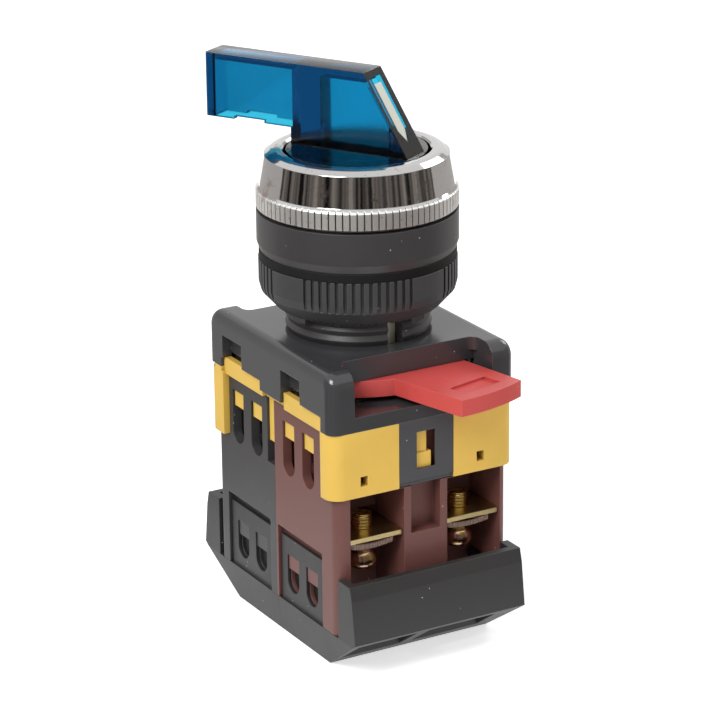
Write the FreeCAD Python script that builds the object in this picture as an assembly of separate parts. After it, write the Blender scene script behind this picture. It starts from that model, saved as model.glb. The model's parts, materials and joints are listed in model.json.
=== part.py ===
import FreeCAD, Part
import math
import os

from FreeCAD import Vector

# Illuminated selector switch for a 22 mm panel hole, standing on its contact blocks.
# Millimetres. The origin is on the head's axis, on the panel seat (the gasket's underside).
# +Z is up, the front is -Y, and the lever's arm points to the back left.

# Head, above the panel seat
GASKET_T = 1.3
COLLAR_R = 14.8
COLLAR_H = 6.0
COLLAR_CHAMFER_R = 0.45
COLLAR_CHAMFER_H = 1.3
GROOVE_H = 0.6
GROOVE_R = 13.9
KNURL_H = 3.0
KNURL_TEETH = 90
KNURL_DEPTH = 0.35
KNURL_CHAMFER = 0.6
BAND_H = 4.55
BAND_FOOT_R = 14.3
BAND_TOP_R = 13.5
LIP_H = 0.7
LIP_BORE_R = 10.7
SPIGOT_R = 12.5
SPIGOT_H = 4.7
HEAD_BORE_R = 10.36

# Threaded neck and its nut
NECK_R = 10.8
NECK_LEN = 10.8
THREAD_PITCH = 1.5
THREAD_DEPTH = 0.35
TAIL_R = 10.4
TAIL_RISE = 2.6
ROTOR_R = 8.5
SLOT_W = 2.4
NUT_R = 14.6
NUT_H = 7.1
NUT_STRAIGHT_H = 4.7
NUT_FOOT_R = 12.5
NUT_RIB_GROUPS = 4
NUT_RIBS = 14
NUT_RIB_ARC = 67.5
NUT_RIB_DEPTH = 0.4
NUT_GROUP_TURN = -120.0
NUT_DOG_H = 0.5

# Lever
LEVER_TURN = 30.0
THROW = 60.0
BLADE_T = 5.0
ARM_REACH = 24.2
LEVER_TOP = 27.9
ARM_UNDERSIDE = 18.4
ARM_NOTCH = (14.1, 19.3, 0.45)
SLOPE_TOP_S = -2.6
SLOPE_FOOT_S = -9.8
CORE_S = (4.9, 9.6)
LEVER_WALL = 1.0
DISC_R = 10.3
DISC_DROP = 0.15
FLANGE_R = 11.9
FLANGE_T = 1.2
HUB_DROP = 0.2
POINTER_W = 2.0
POINTER_START = 2.1
POINTER_SHOULDER = 9.6
POINTER_TIP = 11.7
POINTER_T = 0.6
POINTER_RECESS = 0.8

# Turning sleeve with the two helical lifting faces
ROTOR_BORE_R = 6.3
ROTOR_TOP = 10.3
STROKE = 3.6
DWELL = 20.0
CAM_FACES = (-90.0, 90.0)
CLICK_ANGLE = 90.0

# Click stop
BALL_R = 1.2
BALL_AXIS_R = 9.35
DETENT_Z = 4.3
DETENT_END_R = 13.6

# Lamp
LAMP_R = 4.0
LAMP_CAP_R = 4.5
LAMP_CAP_PROUD = 3.0
LAMP_CONTACT_R = 1.2
LAMP_CONTACT_H = 1.5
LAMP_TOP = 13.0
LAMP_HOLDER_R = 5.5
LAMP_HOLDER_TOP = -6.0
LAMP_SOCKET_FLOOR = 1.5

# Adapter frame
FRAME_W = 30.9
FRAME_H = 9.0
FRAME_OVERHANG = 0.4
FRAME_WALL = 1.6
FRAME_ROOF_T = 2.0
FRAME_CORNER_R = 1.7
FRAME_EDGE_R = 2.4
SKIRT_GAP = 2.2
TAB_Y = (-3.9, 2.4)
TAB_GAP = 0.7
WINDOW_SIDE = 3.95
WINDOW_DEPTH = 5.0
LINTEL_T = 1.0
NOTCH_DROP = 3.2
NOTCH_W = (5.7, 6.0)
NOTCH_GAP = (0.1, 0.6)

# Locking ring with its finger lever
LOCK_TURN = 13.5
LOCK_T = 2.5
LOCK_RISE = 0.8
LOCK_RING_GAP = 0.45
LOCK_FAN_GAP = 3.1
LOCK_FAN = (-46.0, 30.0)
LOCK_SIDE_GAP = 5.0
LOCK_TAPER = 0.55
LOCK_OUT = 9.3
LOCK_DENT = (2.4, 3.2, 0.45)

# Contact carrier and its two clip plates
DECK_T = 0.8
RIM_W = 1.0
LEG_T = 1.5
LEG_WRAP = (3.2, 4.6)
LEG_LAP = 0.5
LEG_CORNER_R = 2.2
LEG_H = 10.0
CLIP_X = (-4.25, 4.9)
CLIP_WINDOW_X = (-1.3, 1.86)
HOOK_X = (-1.3, 0.7)
HOOK_BEAK_X = 1.35
LEG_HOLES_IN = (5.4, 6.0)
LEG_HOLE_W = 1.2
LATCH_H = 6.8
CLIP_WINDOW_DROP = (7.2, 1.5)
HOOK_STEP_DROP = 4.9
LEG_HOLE_DROP = (8.0, 6.5)
WELL_R = 9.2
WELL_WALL = 0.9
WELL_DROP = 1.5
WELL_FLOOR_T = 0.7

# Contact blocks, given for the front one (the rear one is the same, turned half round)
HOUSING_INSET = 1.0
HOUSING_D = 18.3
HOUSING_GAP = 0.4
HOUSING_H = 30.85
HOUSING_CORNER_R = 1.6
SIDE_WALL = 1.5
SPLIT_WALL = 1.3
SEAM_STEP = 2.2
SEAM_STEP_W = 3.85
SEAM_H = 10.2
KEYHOLE_W = 3.5
KEYHOLE_SEAM_GAP = 0.25
KEYHOLE_LEG_GAP = 1.05
KEYHOLE_SHIFT = 1.2
LIFT_RISE = 2.6
KEYHOLE_DROP = 2.15
CHAMBER_H = 10.4
CONTACT_FLOOR_RISE = 4.05
POCKET_DROP = 9.8
CONTACT_WALL = 4.55
POCKET_INNER_X = (-3.2, 4.05)
POCKET_OUTER_WALLS = (2.25, 1.3)
POCKET_WALL = 0.8
CENTRE_RECESS_X = (-2.05, 2.9)
CENTRE_RECESS_D = 2.2
CENTRE_RECESS_DROP = 17.15
TONGUE_RECESS_GAP = 0.3
TONGUE_RECESS_D = 1.0
TONGUE_RECESS_END = 1.4
CATCH_WELL_D = 2.2

# Moving contact carriers
PAD_R = 1.2
PAD_GAP = 0.25
BEAM_D = 4.0
BEAM_H = 2.5
BEAM_GAP = 0.5
RISER_T = 1.4
TONGUE_H = 2.5
TONGUE_W = 3.1
TONGUE_IN = 0.35
BRIDGE_W = 2.8
BRIDGE_T = 0.7
BRIDGE_END = 1.5
BRIDGE_GAP = 0.3
RIVET_R = 1.2
RIVET_T = 0.4
RIVETS_X = (-4.7, 5.4)
STEM_R = 0.9
STEM_FOOT = 1.0
SPRING_R = 1.55
WIRE_R = 0.25
WIRE_SIDES = 6
COIL_STEPS = 12
RETURN_TURNS = 5
CONTACT_TURNS = (6, 4)
DETENT_TURNS = 3

# Terminals
PLATE_DROP = 16.4
PLATE_T = 0.7
PLATE_GAP = 0.15
PLATE_SETBACK = 0.5
STRIP_W = 2.6
SCREW_R = 1.5
STUB_H = 2.6
STUB_TIP = 0.4
WASHER_W = 6.8
WASHER_T = 0.9
WASHER_GAP = 0.2
NECK_H = 1.1
NECK_HEAD_R = 2.1
SCREW_HEAD_R = 2.75
SCREW_HEAD_H = 3.4
SCREW_HEAD_EDGE = 0.6
DRIVE_SLOT = (0.8, 1.1)

# Terminal covers
COVER_H = 5.85
COVER_WALL = 1.3
COVER_TAPER = 1.0
COVER_FOOT_IN = 4.2
APRON_TOP_OUT = 3.5
APRON_BEVEL_OUT = 4.05
APRON_FOOT_OUT = 4.9
APRON_H = (9.1, 7.05, 0.45)
COVER_TONGUE_RISE = 10.2
COVER_SLOT_RISE = (1.75, 7.5)
COVER_SLOT_W = 3.5
COVER_TONGUE_EDGE = 1.775
CATCH_H = 2.3
WIRE_HOLES_INNER_X = (-3.2, -1.2)
WIRE_HOLES_SIDE = (1.45, 4.25)
WIRE_HOLE_OUT = (3.6, -1.7)

# Clearances
RUN = 0.06
SLIP = 0.1
FIT = 0.05

# What follows for the head
COLLAR_TOP = GASKET_T + COLLAR_H
KNURL_FOOT = COLLAR_TOP + GROOVE_H
KNURL_TOP = KNURL_FOOT + KNURL_H
BAND_TOP = KNURL_TOP + BAND_H
LIP_TOP = BAND_TOP + LIP_H
SPIGOT_TOP = COLLAR_TOP + SPIGOT_H
NECK_BORE_R = ROTOR_R + RUN
DISC_TOP = LIP_TOP - DISC_DROP
FLANGE_FOOT = SPIGOT_TOP + HUB_DROP
LIP_UNDERSIDE = FLANGE_FOOT + FLANGE_T + HUB_DROP

# What follows for the adapter, its legs and the locking ring
HALF_FRAME = FRAME_W / 2
FRAME_Y = HOUSING_D + FRAME_OVERHANG
FRAME_TOP = -NECK_LEN
FRAME_FOOT = FRAME_TOP - FRAME_H
TAIL_FOOT = FRAME_FOOT + TAIL_RISE
SKIRT_FOOT = FRAME_FOOT + SKIRT_GAP
SKIRT_END = FRAME_Y - LEG_WRAP[0] + 2 * SLIP
LEG_START = FRAME_Y - LEG_WRAP[1] + LEG_LAP
LEG_FOOT = FRAME_FOOT - LEG_H
NOTCH_TOP = FRAME_TOP - NOTCH_DROP
NOTCHES = ((TAB_Y[0] - NOTCH_GAP[0] - NOTCH_W[0], TAB_Y[0] - NOTCH_GAP[0]),
           (LEG_START - NOTCH_GAP[1] - NOTCH_W[1], LEG_START - NOTCH_GAP[1]))
WINDOW_W = FRAME_W - 2 * WINDOW_SIDE
WINDOW_SILL = SKIRT_FOOT
LOCK_TOP = WINDOW_SILL + LOCK_RISE + LOCK_T
LINTEL_FOOT = LOCK_TOP + FIT
LOCK_RING_R = HALF_FRAME - FRAME_WALL - LOCK_RING_GAP
LOCK_FAN_R = FRAME_Y - LOCK_FAN_GAP
LOCK_ROOT_W = WINDOW_W - 2 * LOCK_SIDE_GAP
LOCK_TIP_W = LOCK_ROOT_W - 2 * LOCK_TAPER
LOCK_REACH = FRAME_Y + LOCK_OUT
LEG_HOLES_X = (-HALF_FRAME + LEG_HOLES_IN[0], HALF_FRAME - LEG_HOLES_IN[1])

# What follows for the contact blocks: heights hang from their top face
LEFT, RIGHT = 0, 1
SIDES = ((LEFT, -1), (RIGHT, 1))
HALF_W = HALF_FRAME - HOUSING_INSET
HOUSING_TOP = FRAME_FOOT - HOUSING_GAP
HOUSING_FOOT = HOUSING_TOP - HOUSING_H
DECK_TOP = HOUSING_TOP + DECK_T
WELL_FLOOR = HOUSING_TOP - WELL_DROP
LIFT_FACE = HOUSING_TOP + LIFT_RISE
CLIP_WINDOW_Z = [HOUSING_TOP - drop for drop in CLIP_WINDOW_DROP]
HOOK_STEP_Z = HOUSING_TOP - HOOK_STEP_DROP
LEG_HOLE_Z = [HOUSING_TOP - drop for drop in LEG_HOLE_DROP]
SEAM_FOOT = HOUSING_TOP - SEAM_H
SEAM_STEP_X = HALF_W - SEAM_STEP_W
KEYHOLE_TOP = HOUSING_TOP - KEYHOLE_DROP
KEYHOLE_FOOT = HOUSING_TOP - CHAMBER_H
KEYHOLE_NEAR = SEAM_STEP + SPLIT_WALL + KEYHOLE_SEAM_GAP
KEYHOLE_FAR = FRAME_Y - LEG_WRAP[RIGHT] - KEYHOLE_LEG_GAP
KEYHOLE_PITCH = KEYHOLE_FAR - KEYHOLE_NEAR - KEYHOLE_W
SIDE_CENTRES = (-(KEYHOLE_NEAR + KEYHOLE_FAR) / 2 + KEYHOLE_SHIFT, -(KEYHOLE_NEAR + KEYHOLE_FAR) / 2)
CHAMBER_FLOOR = HOUSING_TOP - CHAMBER_H
CHAMBER_FAR = -KEYHOLE_FAR - BRIDGE_GAP
CONTACT_FLOOR = HOUSING_FOOT + CONTACT_FLOOR_RISE
CONTACT_X = (-HALF_W + CONTACT_WALL, SEAM_STEP_X)
PUSH_Y = (ROTOR_BORE_R + ROTOR_R) / 2
POCKET_BACK = -PUSH_Y - BRIDGE_W / 2 - BRIDGE_GAP - POCKET_WALL
POCKET_STEP_Y = CHAMBER_FAR - POCKET_WALL
POCKETS_X = ((-HALF_W + POCKET_OUTER_WALLS[LEFT], POCKET_INNER_X[LEFT]),
             (POCKET_INNER_X[RIGHT], HALF_W - POCKET_OUTER_WALLS[RIGHT]))
POCKET_TOP = HOUSING_TOP - POCKET_DROP
POCKET_BACK_TOP = CHAMBER_FLOOR - POCKET_WALL
CENTRE_RECESS_FOOT = HOUSING_TOP - CENTRE_RECESS_DROP
COVER_TOP = HOUSING_FOOT - FIT
COVER_FOOT = HOUSING_FOOT - COVER_H
COVER_SLOT_PITCH = KEYHOLE_PITCH - 0.15
COVER_TONGUE_W = COVER_SLOT_PITCH + COVER_SLOT_W + 2 * COVER_TONGUE_EDGE
COVER_TONGUE_TOP = HOUSING_FOOT + COVER_TONGUE_RISE
COVER_SLOT_FOOT, COVER_SLOT_TOP = [HOUSING_FOOT + rise for rise in COVER_SLOT_RISE]
TONGUE_RECESS_W = COVER_TONGUE_W + 2 * TONGUE_RECESS_GAP
TONGUE_RECESS_TOP = COVER_TONGUE_TOP + TONGUE_RECESS_END
BEAM_TOP = WELL_FLOOR - WELL_FLOOR_T - BEAM_GAP
BEAM_FOOT = BEAM_TOP - BEAM_H
PLATE_TOP = HOUSING_TOP - PLATE_DROP
PLATE_FOOT = PLATE_TOP - PLATE_T
PLATE_FRONT = -HOUSING_D + PLATE_SETBACK
PLATES_X = tuple((x0 + PLATE_GAP, x1 - PLATE_GAP) for x0, x1 in POCKETS_X)
SCREWS_X = tuple((x0 + x1) / 2 for x0, x1 in POCKETS_X)
SCREW_Y = POCKET_BACK - WASHER_W / 2 - WASHER_GAP
WASHER_TOP = PLATE_FOOT - WASHER_GAP
WASHER_FOOT = WASHER_TOP - WASHER_T
HEAD_TOP = WASHER_FOOT - NECK_H
APRON_TOP, APRON_BEVEL_Z, APRON_FOOT = [HOUSING_FOOT + h for h in APRON_H]
APRON_TOP_Y = -HOUSING_D - APRON_TOP_OUT
APRON_BEVEL_Y = -HOUSING_D - APRON_BEVEL_OUT
APRON_FOOT_Y = -HOUSING_D - APRON_FOOT_OUT
COVER_FOOT_Y = -HOUSING_D + COVER_FOOT_IN
WIRE_HOLES_X = ((-HALF_W + WIRE_HOLES_SIDE[LEFT], WIRE_HOLES_INNER_X[LEFT]),
                (WIRE_HOLES_INNER_X[RIGHT], HALF_W - WIRE_HOLES_SIDE[RIGHT]))
WIRE_HOLE_Y = (-HOUSING_D - WIRE_HOLE_OUT[0], -HOUSING_D - WIRE_HOLE_OUT[1])


def box(x0, x1, y0, y1, z0, z1):
    x0, x1 = min(x0, x1), max(x0, x1)
    y0, y1 = min(y0, y1), max(y0, y1)
    z0, z1 = min(z0, z1), max(z0, z1)
    return Part.makeBox(x1 - x0, y1 - y0, z1 - z0, Vector(x0, y0, z0))


def disc(radius, z0, z1, x=0.0, y=0.0):
    z0, z1 = min(z0, z1), max(z0, z1)
    return Part.makeCylinder(radius, z1 - z0, Vector(x, y, z0))


def tube(outer, inner, z0, z1, x=0.0, y=0.0):
    return disc(outer, z0, z1, x, y).cut(disc(inner, z0 - 1, z1 + 1, x, y))


def face_of(points):
    return Part.Face(Part.makePolygon([Vector(*p) for p in points] + [Vector(*points[0])]))


def turned(profile):
    """Solid of revolution about Z from (radius, height) points."""
    return face_of([(r, 0, z) for r, z in profile]).revolve(Vector(0, 0, 0), Vector(0, 0, 1), 360)


def across(profile, x0, x1):
    """Prism along X from (y, z) points."""
    return face_of([(x0, y, z) for y, z in profile]).extrude(Vector(x1 - x0, 0, 0))


def upright(profile, z0, z1):
    """Prism along Z from (x, y) points."""
    return face_of([(x, y, z0) for x, y in profile]).extrude(Vector(0, 0, z1 - z0))


def turn(shape, degrees):
    moved = shape.copy()
    moved.rotate(Vector(0, 0, 0), Vector(0, 0, 1), degrees)
    return moved


def joined(shapes):
    whole = shapes[0].fuse(shapes[1:])
    return whole.removeSplitter()


def upright_edges(shape, corners, tol=0.01):
    """Straight vertical edges that stand on one of the given (x, y) corners."""
    found = []
    for edge in shape.Edges:
        ends = [v.Point for v in edge.Vertexes]
        if len(ends) != 2 or abs(ends[0].x - ends[1].x) > tol or abs(ends[0].y - ends[1].y) > tol:
            continue
        if any(abs(ends[0].x - x) < tol and abs(ends[0].y - y) < tol for x, y in corners):
            found.append(edge)
    return found


def rounded_block(x0, x1, y0, y1, z0, z1, radius, corners):
    """A box whose named (x, y) corners are rounded."""
    shape = box(x0, x1, y0, y1, z0, z1)
    return shape.makeFillet(radius, upright_edges(shape, corners))


def keyhole(x0, x1, yc, width, foot, top):
    """A tall slot through a side wall, square at the top and round at the foot."""
    r = width / 2
    shaft = box(x0, x1, yc - r, yc + r, foot + r, top)
    end = Part.makeCylinder(r, abs(x1 - x0), Vector(min(x0, x1), yc, foot + r), Vector(1, 0, 0))
    return shaft.fuse(end)


def coil(x, y, z0, z1, radius, turns, axis=Vector(0, 0, 1)):
    """Compression spring between two heights, or along another axis: flat-sided wire on a stepped helix."""
    length = abs(z1 - z0) - 2 * WIRE_R
    count = turns * COIL_STEPS
    path = []
    for i in range(count + 1):
        angle = 2 * math.pi * i / COIL_STEPS
        path.append(Vector(radius * math.cos(angle), radius * math.sin(angle), length * i / count))
    ahead = (path[1] - path[0]).normalize()
    up = ahead.cross(Vector(1, 0, 0)).normalize()
    out = up.cross(ahead)
    section = []
    for k in range(WIRE_SIDES):
        angle = 2 * math.pi * (k + 0.5) / WIRE_SIDES
        section.append(path[0] + out * (WIRE_R * math.cos(angle)) + up * (WIRE_R * math.sin(angle)))
    spring = Part.makePolygon(path).makePipeShell([Part.makePolygon(section + [section[0]])], True, False, 1)
    if not axis.isEqual(Vector(0, 0, 1), 1e-9):
        spring.rotate(Vector(0, 0, 0), Vector(0, 0, 1).cross(axis), 90)
    spring.translate(Vector(x, y, min(z0, z1)) + axis * WIRE_R)
    return spring


def head_body():
    """Collar, bezel spigot, threaded neck and plain tail, moulded in one piece."""
    thread_root = NECK_R - THREAD_DEPTH
    profile = [(NECK_BORE_R, TAIL_FOOT), (TAIL_R, TAIL_FOOT), (TAIL_R, FRAME_TOP), (thread_root, FRAME_TOP)]
    z = FRAME_TOP + THREAD_PITCH / 2
    while z < -THREAD_PITCH:
        profile += [(NECK_R, z), (thread_root, z + THREAD_PITCH / 2)]
        z += THREAD_PITCH
    profile += [(NECK_R, z), (NECK_R, GASKET_T)]
    profile += [(COLLAR_R - COLLAR_CHAMFER_R, GASKET_T)]
    profile += [(COLLAR_R, GASKET_T + COLLAR_CHAMFER_H), (COLLAR_R, COLLAR_TOP)]
    profile += [(SPIGOT_R, COLLAR_TOP), (SPIGOT_R, SPIGOT_TOP), (HEAD_BORE_R, SPIGOT_TOP)]
    profile += [(HEAD_BORE_R, COLLAR_TOP), (NECK_BORE_R, COLLAR_TOP)]
    body = turned(profile)
    bore = Part.makeCylinder(BALL_R + SLIP, DETENT_END_R, Vector(0, 0, DETENT_Z), Vector(0, 1, 0))
    slot = box(-SLOT_W / 2, SLOT_W / 2, -NECK_R - 1, NECK_R + 1, TAIL_FOOT - 1, -NUT_STRAIGHT_H)
    return body.cut([bore, slot])


def bezel_ring():
    """Polished ring with a knurled foot, screwed over the spigot."""
    profile = [(SPIGOT_R + FIT, COLLAR_TOP + FIT), (GROOVE_R, COLLAR_TOP + FIT), (GROOVE_R, KNURL_FOOT)]
    profile += [(COLLAR_R, KNURL_FOOT), (COLLAR_R, KNURL_TOP - KNURL_CHAMFER), (BAND_FOOT_R, KNURL_TOP)]
    profile += [(BAND_TOP_R, BAND_TOP), (BAND_TOP_R - 0.9, LIP_TOP - 0.15)]
    profile += [(BAND_TOP_R - 1.6, LIP_TOP), (LIP_BORE_R + 0.3, LIP_TOP)]
    profile += [(LIP_BORE_R, LIP_TOP - 0.3), (LIP_BORE_R, LIP_UNDERSIDE)]
    profile += [(SPIGOT_R + FIT, LIP_UNDERSIDE)]
    ring = turned(profile)
    half = math.pi * COLLAR_R / KNURL_TEETH * 0.5
    groove = upright([(COLLAR_R + 1, -half * 1.4), (COLLAR_R + 1, half * 1.4), (COLLAR_R - KNURL_DEPTH, 0)],
                     KNURL_FOOT - 1, KNURL_TOP + 0.05)
    grooves = [turn(groove, i * 360.0 / KNURL_TEETH) for i in range(KNURL_TEETH)]
    return ring.cut(grooves)


def panel_gasket():
    return tube(NUT_R - 0.1, NECK_R + SLIP, 0, GASKET_T)


def panel_nut():
    """Ring nut with four groups of ribs between smooth pads and a bevelled, toothed foot."""
    bore = NECK_R + RUN
    foot = -NUT_H
    profile = [(bore, 0), (NUT_R, 0), (NUT_R, -NUT_STRAIGHT_H * 0.75), (NUT_R - 0.3, -NUT_STRAIGHT_H)]
    profile += [(NUT_FOOT_R, foot + 0.4), (NUT_FOOT_R - 0.5, foot), (bore, foot)]
    nut = turned(profile)
    pitch = NUT_RIB_ARC / NUT_RIBS
    half = math.radians(pitch) * NUT_R * 0.22
    groove = box(NUT_R - NUT_RIB_DEPTH, NUT_R + 1, -half, half, -NUT_STRAIGHT_H, 1)
    tooth = box(NUT_FOOT_R - 1.1, NUT_FOOT_R + 1, -half, half, foot - 1, foot + 0.3)
    cuts = []
    for group in range(NUT_RIB_GROUPS):
        start = NUT_GROUP_TURN + group * 360.0 / NUT_RIB_GROUPS - NUT_RIB_ARC / 2
        for i in range(NUT_RIBS):
            angle = start + (i + 0.5) * pitch
            cuts += [turn(groove, angle), turn(tooth, angle)]
    nut = nut.cut(cuts)
    dog = box(NUT_FOOT_R - 1.4, NUT_FOOT_R - 0.3, -1.3, 1.3, foot - NUT_DOG_H, foot + 0.2)
    between = 180.0 / NUT_RIB_GROUPS
    dogs = [turn(dog, NUT_GROUP_TURN + between + i * 360.0 / NUT_RIB_GROUPS) for i in range(NUT_RIB_GROUPS)]
    return joined([nut] + dogs)


def slope_point(distance):
    """(y, z) on the lever's sloping front, this far down from its top edge."""
    dy = SLOPE_FOOT_S - SLOPE_TOP_S
    dz = DISC_TOP - LEVER_TOP
    length = math.hypot(dy, dz)
    return SLOPE_TOP_S + dy * distance / length, LEVER_TOP + dz * distance / length


def pointer_prism(half_width, start, shoulder, tip, depth, proud):
    """Five-sided strip let into the sloping front by a depth, built before the lever is turned."""
    dy = SLOPE_FOOT_S - SLOPE_TOP_S
    dz = DISC_TOP - LEVER_TOP
    length = math.hypot(dy, dz)
    inward = Vector(0, -dz / length, dy / length)
    if inward.z > 0:
        inward = inward * -1
    corners = []
    for x, distance in ((-half_width, start), (half_width, start), (half_width, shoulder),
                        (0, tip), (-half_width, shoulder)):
        y, z = slope_point(distance)
        corners.append(Vector(x, y, z) - inward * proud)
    outline = Part.Face(Part.makePolygon(corners + [corners[0]]))
    return outline.extrude(inward * (depth + proud))


def lever():
    """Hollow translucent handle on its round base."""
    notch0, notch1, notch_h = ARM_NOTCH
    blade = across([(ARM_REACH, ARM_UNDERSIDE), (ARM_REACH, LEVER_TOP), (SLOPE_TOP_S, LEVER_TOP),
                    (SLOPE_FOOT_S, DISC_TOP), (SLOPE_FOOT_S, DISC_TOP - 1), (CORE_S[1], DISC_TOP - 1),
                    (CORE_S[1], ARM_UNDERSIDE), (notch0, ARM_UNDERSIDE),
                    (notch0, ARM_UNDERSIDE + notch_h), (notch1, ARM_UNDERSIDE + notch_h),
                    (notch1, ARM_UNDERSIDE)], -BLADE_T / 2, BLADE_T / 2)
    ends = upright_edges(blade, [(-BLADE_T / 2, ARM_REACH), (BLADE_T / 2, ARM_REACH)])
    blade = blade.makeFillet(0.5, ends)
    hub_foot = COLLAR_TOP + HUB_DROP
    hub_bore = LAMP_HOLDER_R + 0.9
    base = turned([(0, DISC_TOP), (DISC_R, DISC_TOP), (DISC_R, FLANGE_FOOT + FLANGE_T),
                   (FLANGE_R, FLANGE_FOOT + FLANGE_T), (FLANGE_R, FLANGE_FOOT), (HEAD_BORE_R - RUN, FLANGE_FOOT),
                   (HEAD_BORE_R - RUN, hub_foot), (ROTOR_R + FIT, hub_foot), (ROTOR_R + FIT, ROTOR_TOP),
                   (hub_bore, ROTOR_TOP), (hub_bore, LAMP_TOP + 1), (0, LAMP_TOP + 1)])
    whole = blade.fuse(base)
    inner = BLADE_T / 2 - LEVER_WALL
    arm_hollow = box(-inner, inner, CORE_S[1], ARM_REACH - 1.5 * LEVER_WALL, ARM_UNDERSIDE - 1, LEVER_TOP - LEVER_WALL)
    top = LEVER_TOP - 1.5 * LEVER_WALL
    slope = (SLOPE_FOOT_S - SLOPE_TOP_S) / (DISC_TOP - LEVER_TOP)
    front_foot = SLOPE_FOOT_S + 3.4 * LEVER_WALL
    bend = LEVER_TOP + (front_foot - 0.9 * LEVER_WALL - SLOPE_TOP_S) / slope
    lamp_hollow = across([(CORE_S[0], LAMP_TOP), (CORE_S[0], top),
                          (SLOPE_TOP_S + slope * (top - LEVER_TOP) + 0.9 * LEVER_WALL, top),
                          (front_foot, bend), (front_foot, LAMP_TOP)], -inner, inner)
    recess = pointer_prism(POINTER_W / 2 + 0.25, POINTER_START - 1.0, POINTER_SHOULDER, POINTER_TIP + 0.2,
                           POINTER_RECESS, 0.5)
    return turn(whole.cut([arm_hollow, lamp_hollow, recess]), LEVER_TURN)


def pointer_insert():
    strip = pointer_prism(POINTER_W / 2, POINTER_START, POINTER_SHOULDER, POINTER_TIP,
                          POINTER_RECESS, POINTER_T - POINTER_RECESS)
    return turn(strip, LEVER_TURN)


def helical_cutter(start, sweep):
    """Everything under a helical face that falls by one stroke over the throw."""
    pitch = STROKE * 360.0 / THROW
    height = pitch * sweep / 360.0
    inner = Part.makeHelix(pitch, height, ROTOR_BORE_R - 0.6).Edges[0]
    outer = Part.makeHelix(pitch, height, ROTOR_R + 0.6).Edges[0]
    skin = Part.makeRuledSurface(inner, outer)
    skin = skin.mirror(Vector(0, 0, 0), Vector(0, 0, 1))
    below = skin.extrude(Vector(0, 0, -3 * STROKE))
    below.translate(Vector(0, 0, LIFT_FACE))
    return turn(below, start)


def cam_rotor():
    """Sleeve whose lower end carries two helical faces, half a turn apart."""
    low = LIFT_FACE - STROKE
    sleeve = tube(ROTOR_R, ROTOR_BORE_R, low, ROTOR_TOP)
    cuts = []
    for start in CAM_FACES:
        cuts.append(helical_cutter(start, THROW))
        open_arc = 180.0 - THROW - DWELL
        wedge = Part.makeCylinder(ROTOR_R + 1, STROKE + 1, Vector(0, 0, low - 1), Vector(0, 0, 1), open_arc)
        cuts.append(turn(wedge, start - open_arc))
    cuts.append(Part.makeTorus(BALL_AXIS_R, BALL_R + 0.15, Vector(0, 0, DETENT_Z)))
    for turned_by in (CLICK_ANGLE, CLICK_ANGLE + THROW):
        pocket = Part.makeSphere(BALL_R + 0.35, Vector(BALL_AXIS_R, 0, DETENT_Z))
        cuts.append(turn(pocket, turned_by))
    return sleeve.cut(cuts)


def detent_ball():
    return Part.makeSphere(BALL_R, Vector(0, BALL_AXIS_R, DETENT_Z))


def detent_spring():
    start = BALL_AXIS_R + BALL_R + FIT
    spring = coil(0, 0, 0, DETENT_END_R - start - FIT, BALL_R - 0.45, DETENT_TURNS, Vector(0, 1, 0))
    spring.translate(Vector(0, start, DETENT_Z))
    return spring


def lamp():
    """Sealed lamp: glass bulb on its metal cap, with a centre contact."""
    cap_top = LAMP_HOLDER_TOP + LAMP_CAP_PROUD
    contact_foot = WELL_FLOOR + LAMP_SOCKET_FLOOR
    contact_top = contact_foot + LAMP_CONTACT_H
    cap = disc(LAMP_CAP_R, contact_top, cap_top)
    contact = disc(LAMP_CONTACT_R, contact_foot, contact_top)
    stalk = disc(LAMP_R, cap_top, LAMP_TOP - LAMP_R)
    dome = Part.makeSphere(LAMP_R, Vector(0, 0, LAMP_TOP - LAMP_R))
    return joined([cap, contact, stalk, dome])


def lamp_holder():
    """Insulated socket that stands on the floor of the carrier's well."""
    cup = disc(LAMP_HOLDER_R, WELL_FLOOR, LAMP_HOLDER_TOP)
    return cup.cut(disc(LAMP_CAP_R + SLIP, WELL_FLOOR + LAMP_SOCKET_FLOOR, LAMP_HOLDER_TOP + 1))


def frame_shell():
    """Rounded outer block of the adapter with its inside taken out."""
    shape = box(-HALF_FRAME, HALF_FRAME, -FRAME_Y, FRAME_Y, FRAME_FOOT, FRAME_TOP)
    rolled = [e for e in shape.Edges
              if abs(e.CenterOfMass.z - FRAME_TOP) < 0.01 and abs(abs(e.CenterOfMass.y) - FRAME_Y) < 0.01]
    shape = shape.makeFillet(FRAME_EDGE_R, rolled)
    corners = [(x, y) for x in (-HALF_FRAME, HALF_FRAME) for y in (-FRAME_Y, FRAME_Y)]
    shape = shape.makeFillet(FRAME_CORNER_R, upright_edges(shape, corners))
    w = FRAME_WALL
    room = box(-HALF_FRAME + w, HALF_FRAME - w, -FRAME_Y + w, FRAME_Y - w, FRAME_FOOT - 1, FRAME_TOP - FRAME_ROOF_T)
    return shape.cut(room)


def skirt_cuts():
    """What is cut away from the left skirt: notches, and the edge that steps up between its feet."""
    outer = -HALF_FRAME - 1
    inner = -HALF_FRAME + FRAME_WALL + 0.1
    cuts = [box(outer, inner, y0, y1, FRAME_FOOT - 1, NOTCH_TOP) for y0, y1 in NOTCHES]
    cuts.append(box(outer, inner, -SKIRT_END, TAB_Y[0], FRAME_FOOT - 1, SKIRT_FOOT))
    cuts.append(box(outer, inner, TAB_Y[1], LEG_START, FRAME_FOOT - 1, SKIRT_FOOT))
    cuts.append(box(outer, inner, TAB_Y[0], TAB_Y[1], FRAME_FOOT - 1, FRAME_FOOT + TAB_GAP))
    cuts.append(box(outer, inner, LEG_START, FRAME_Y + 1, FRAME_FOOT - 1, FRAME_FOOT + TAB_GAP))
    return cuts


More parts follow.
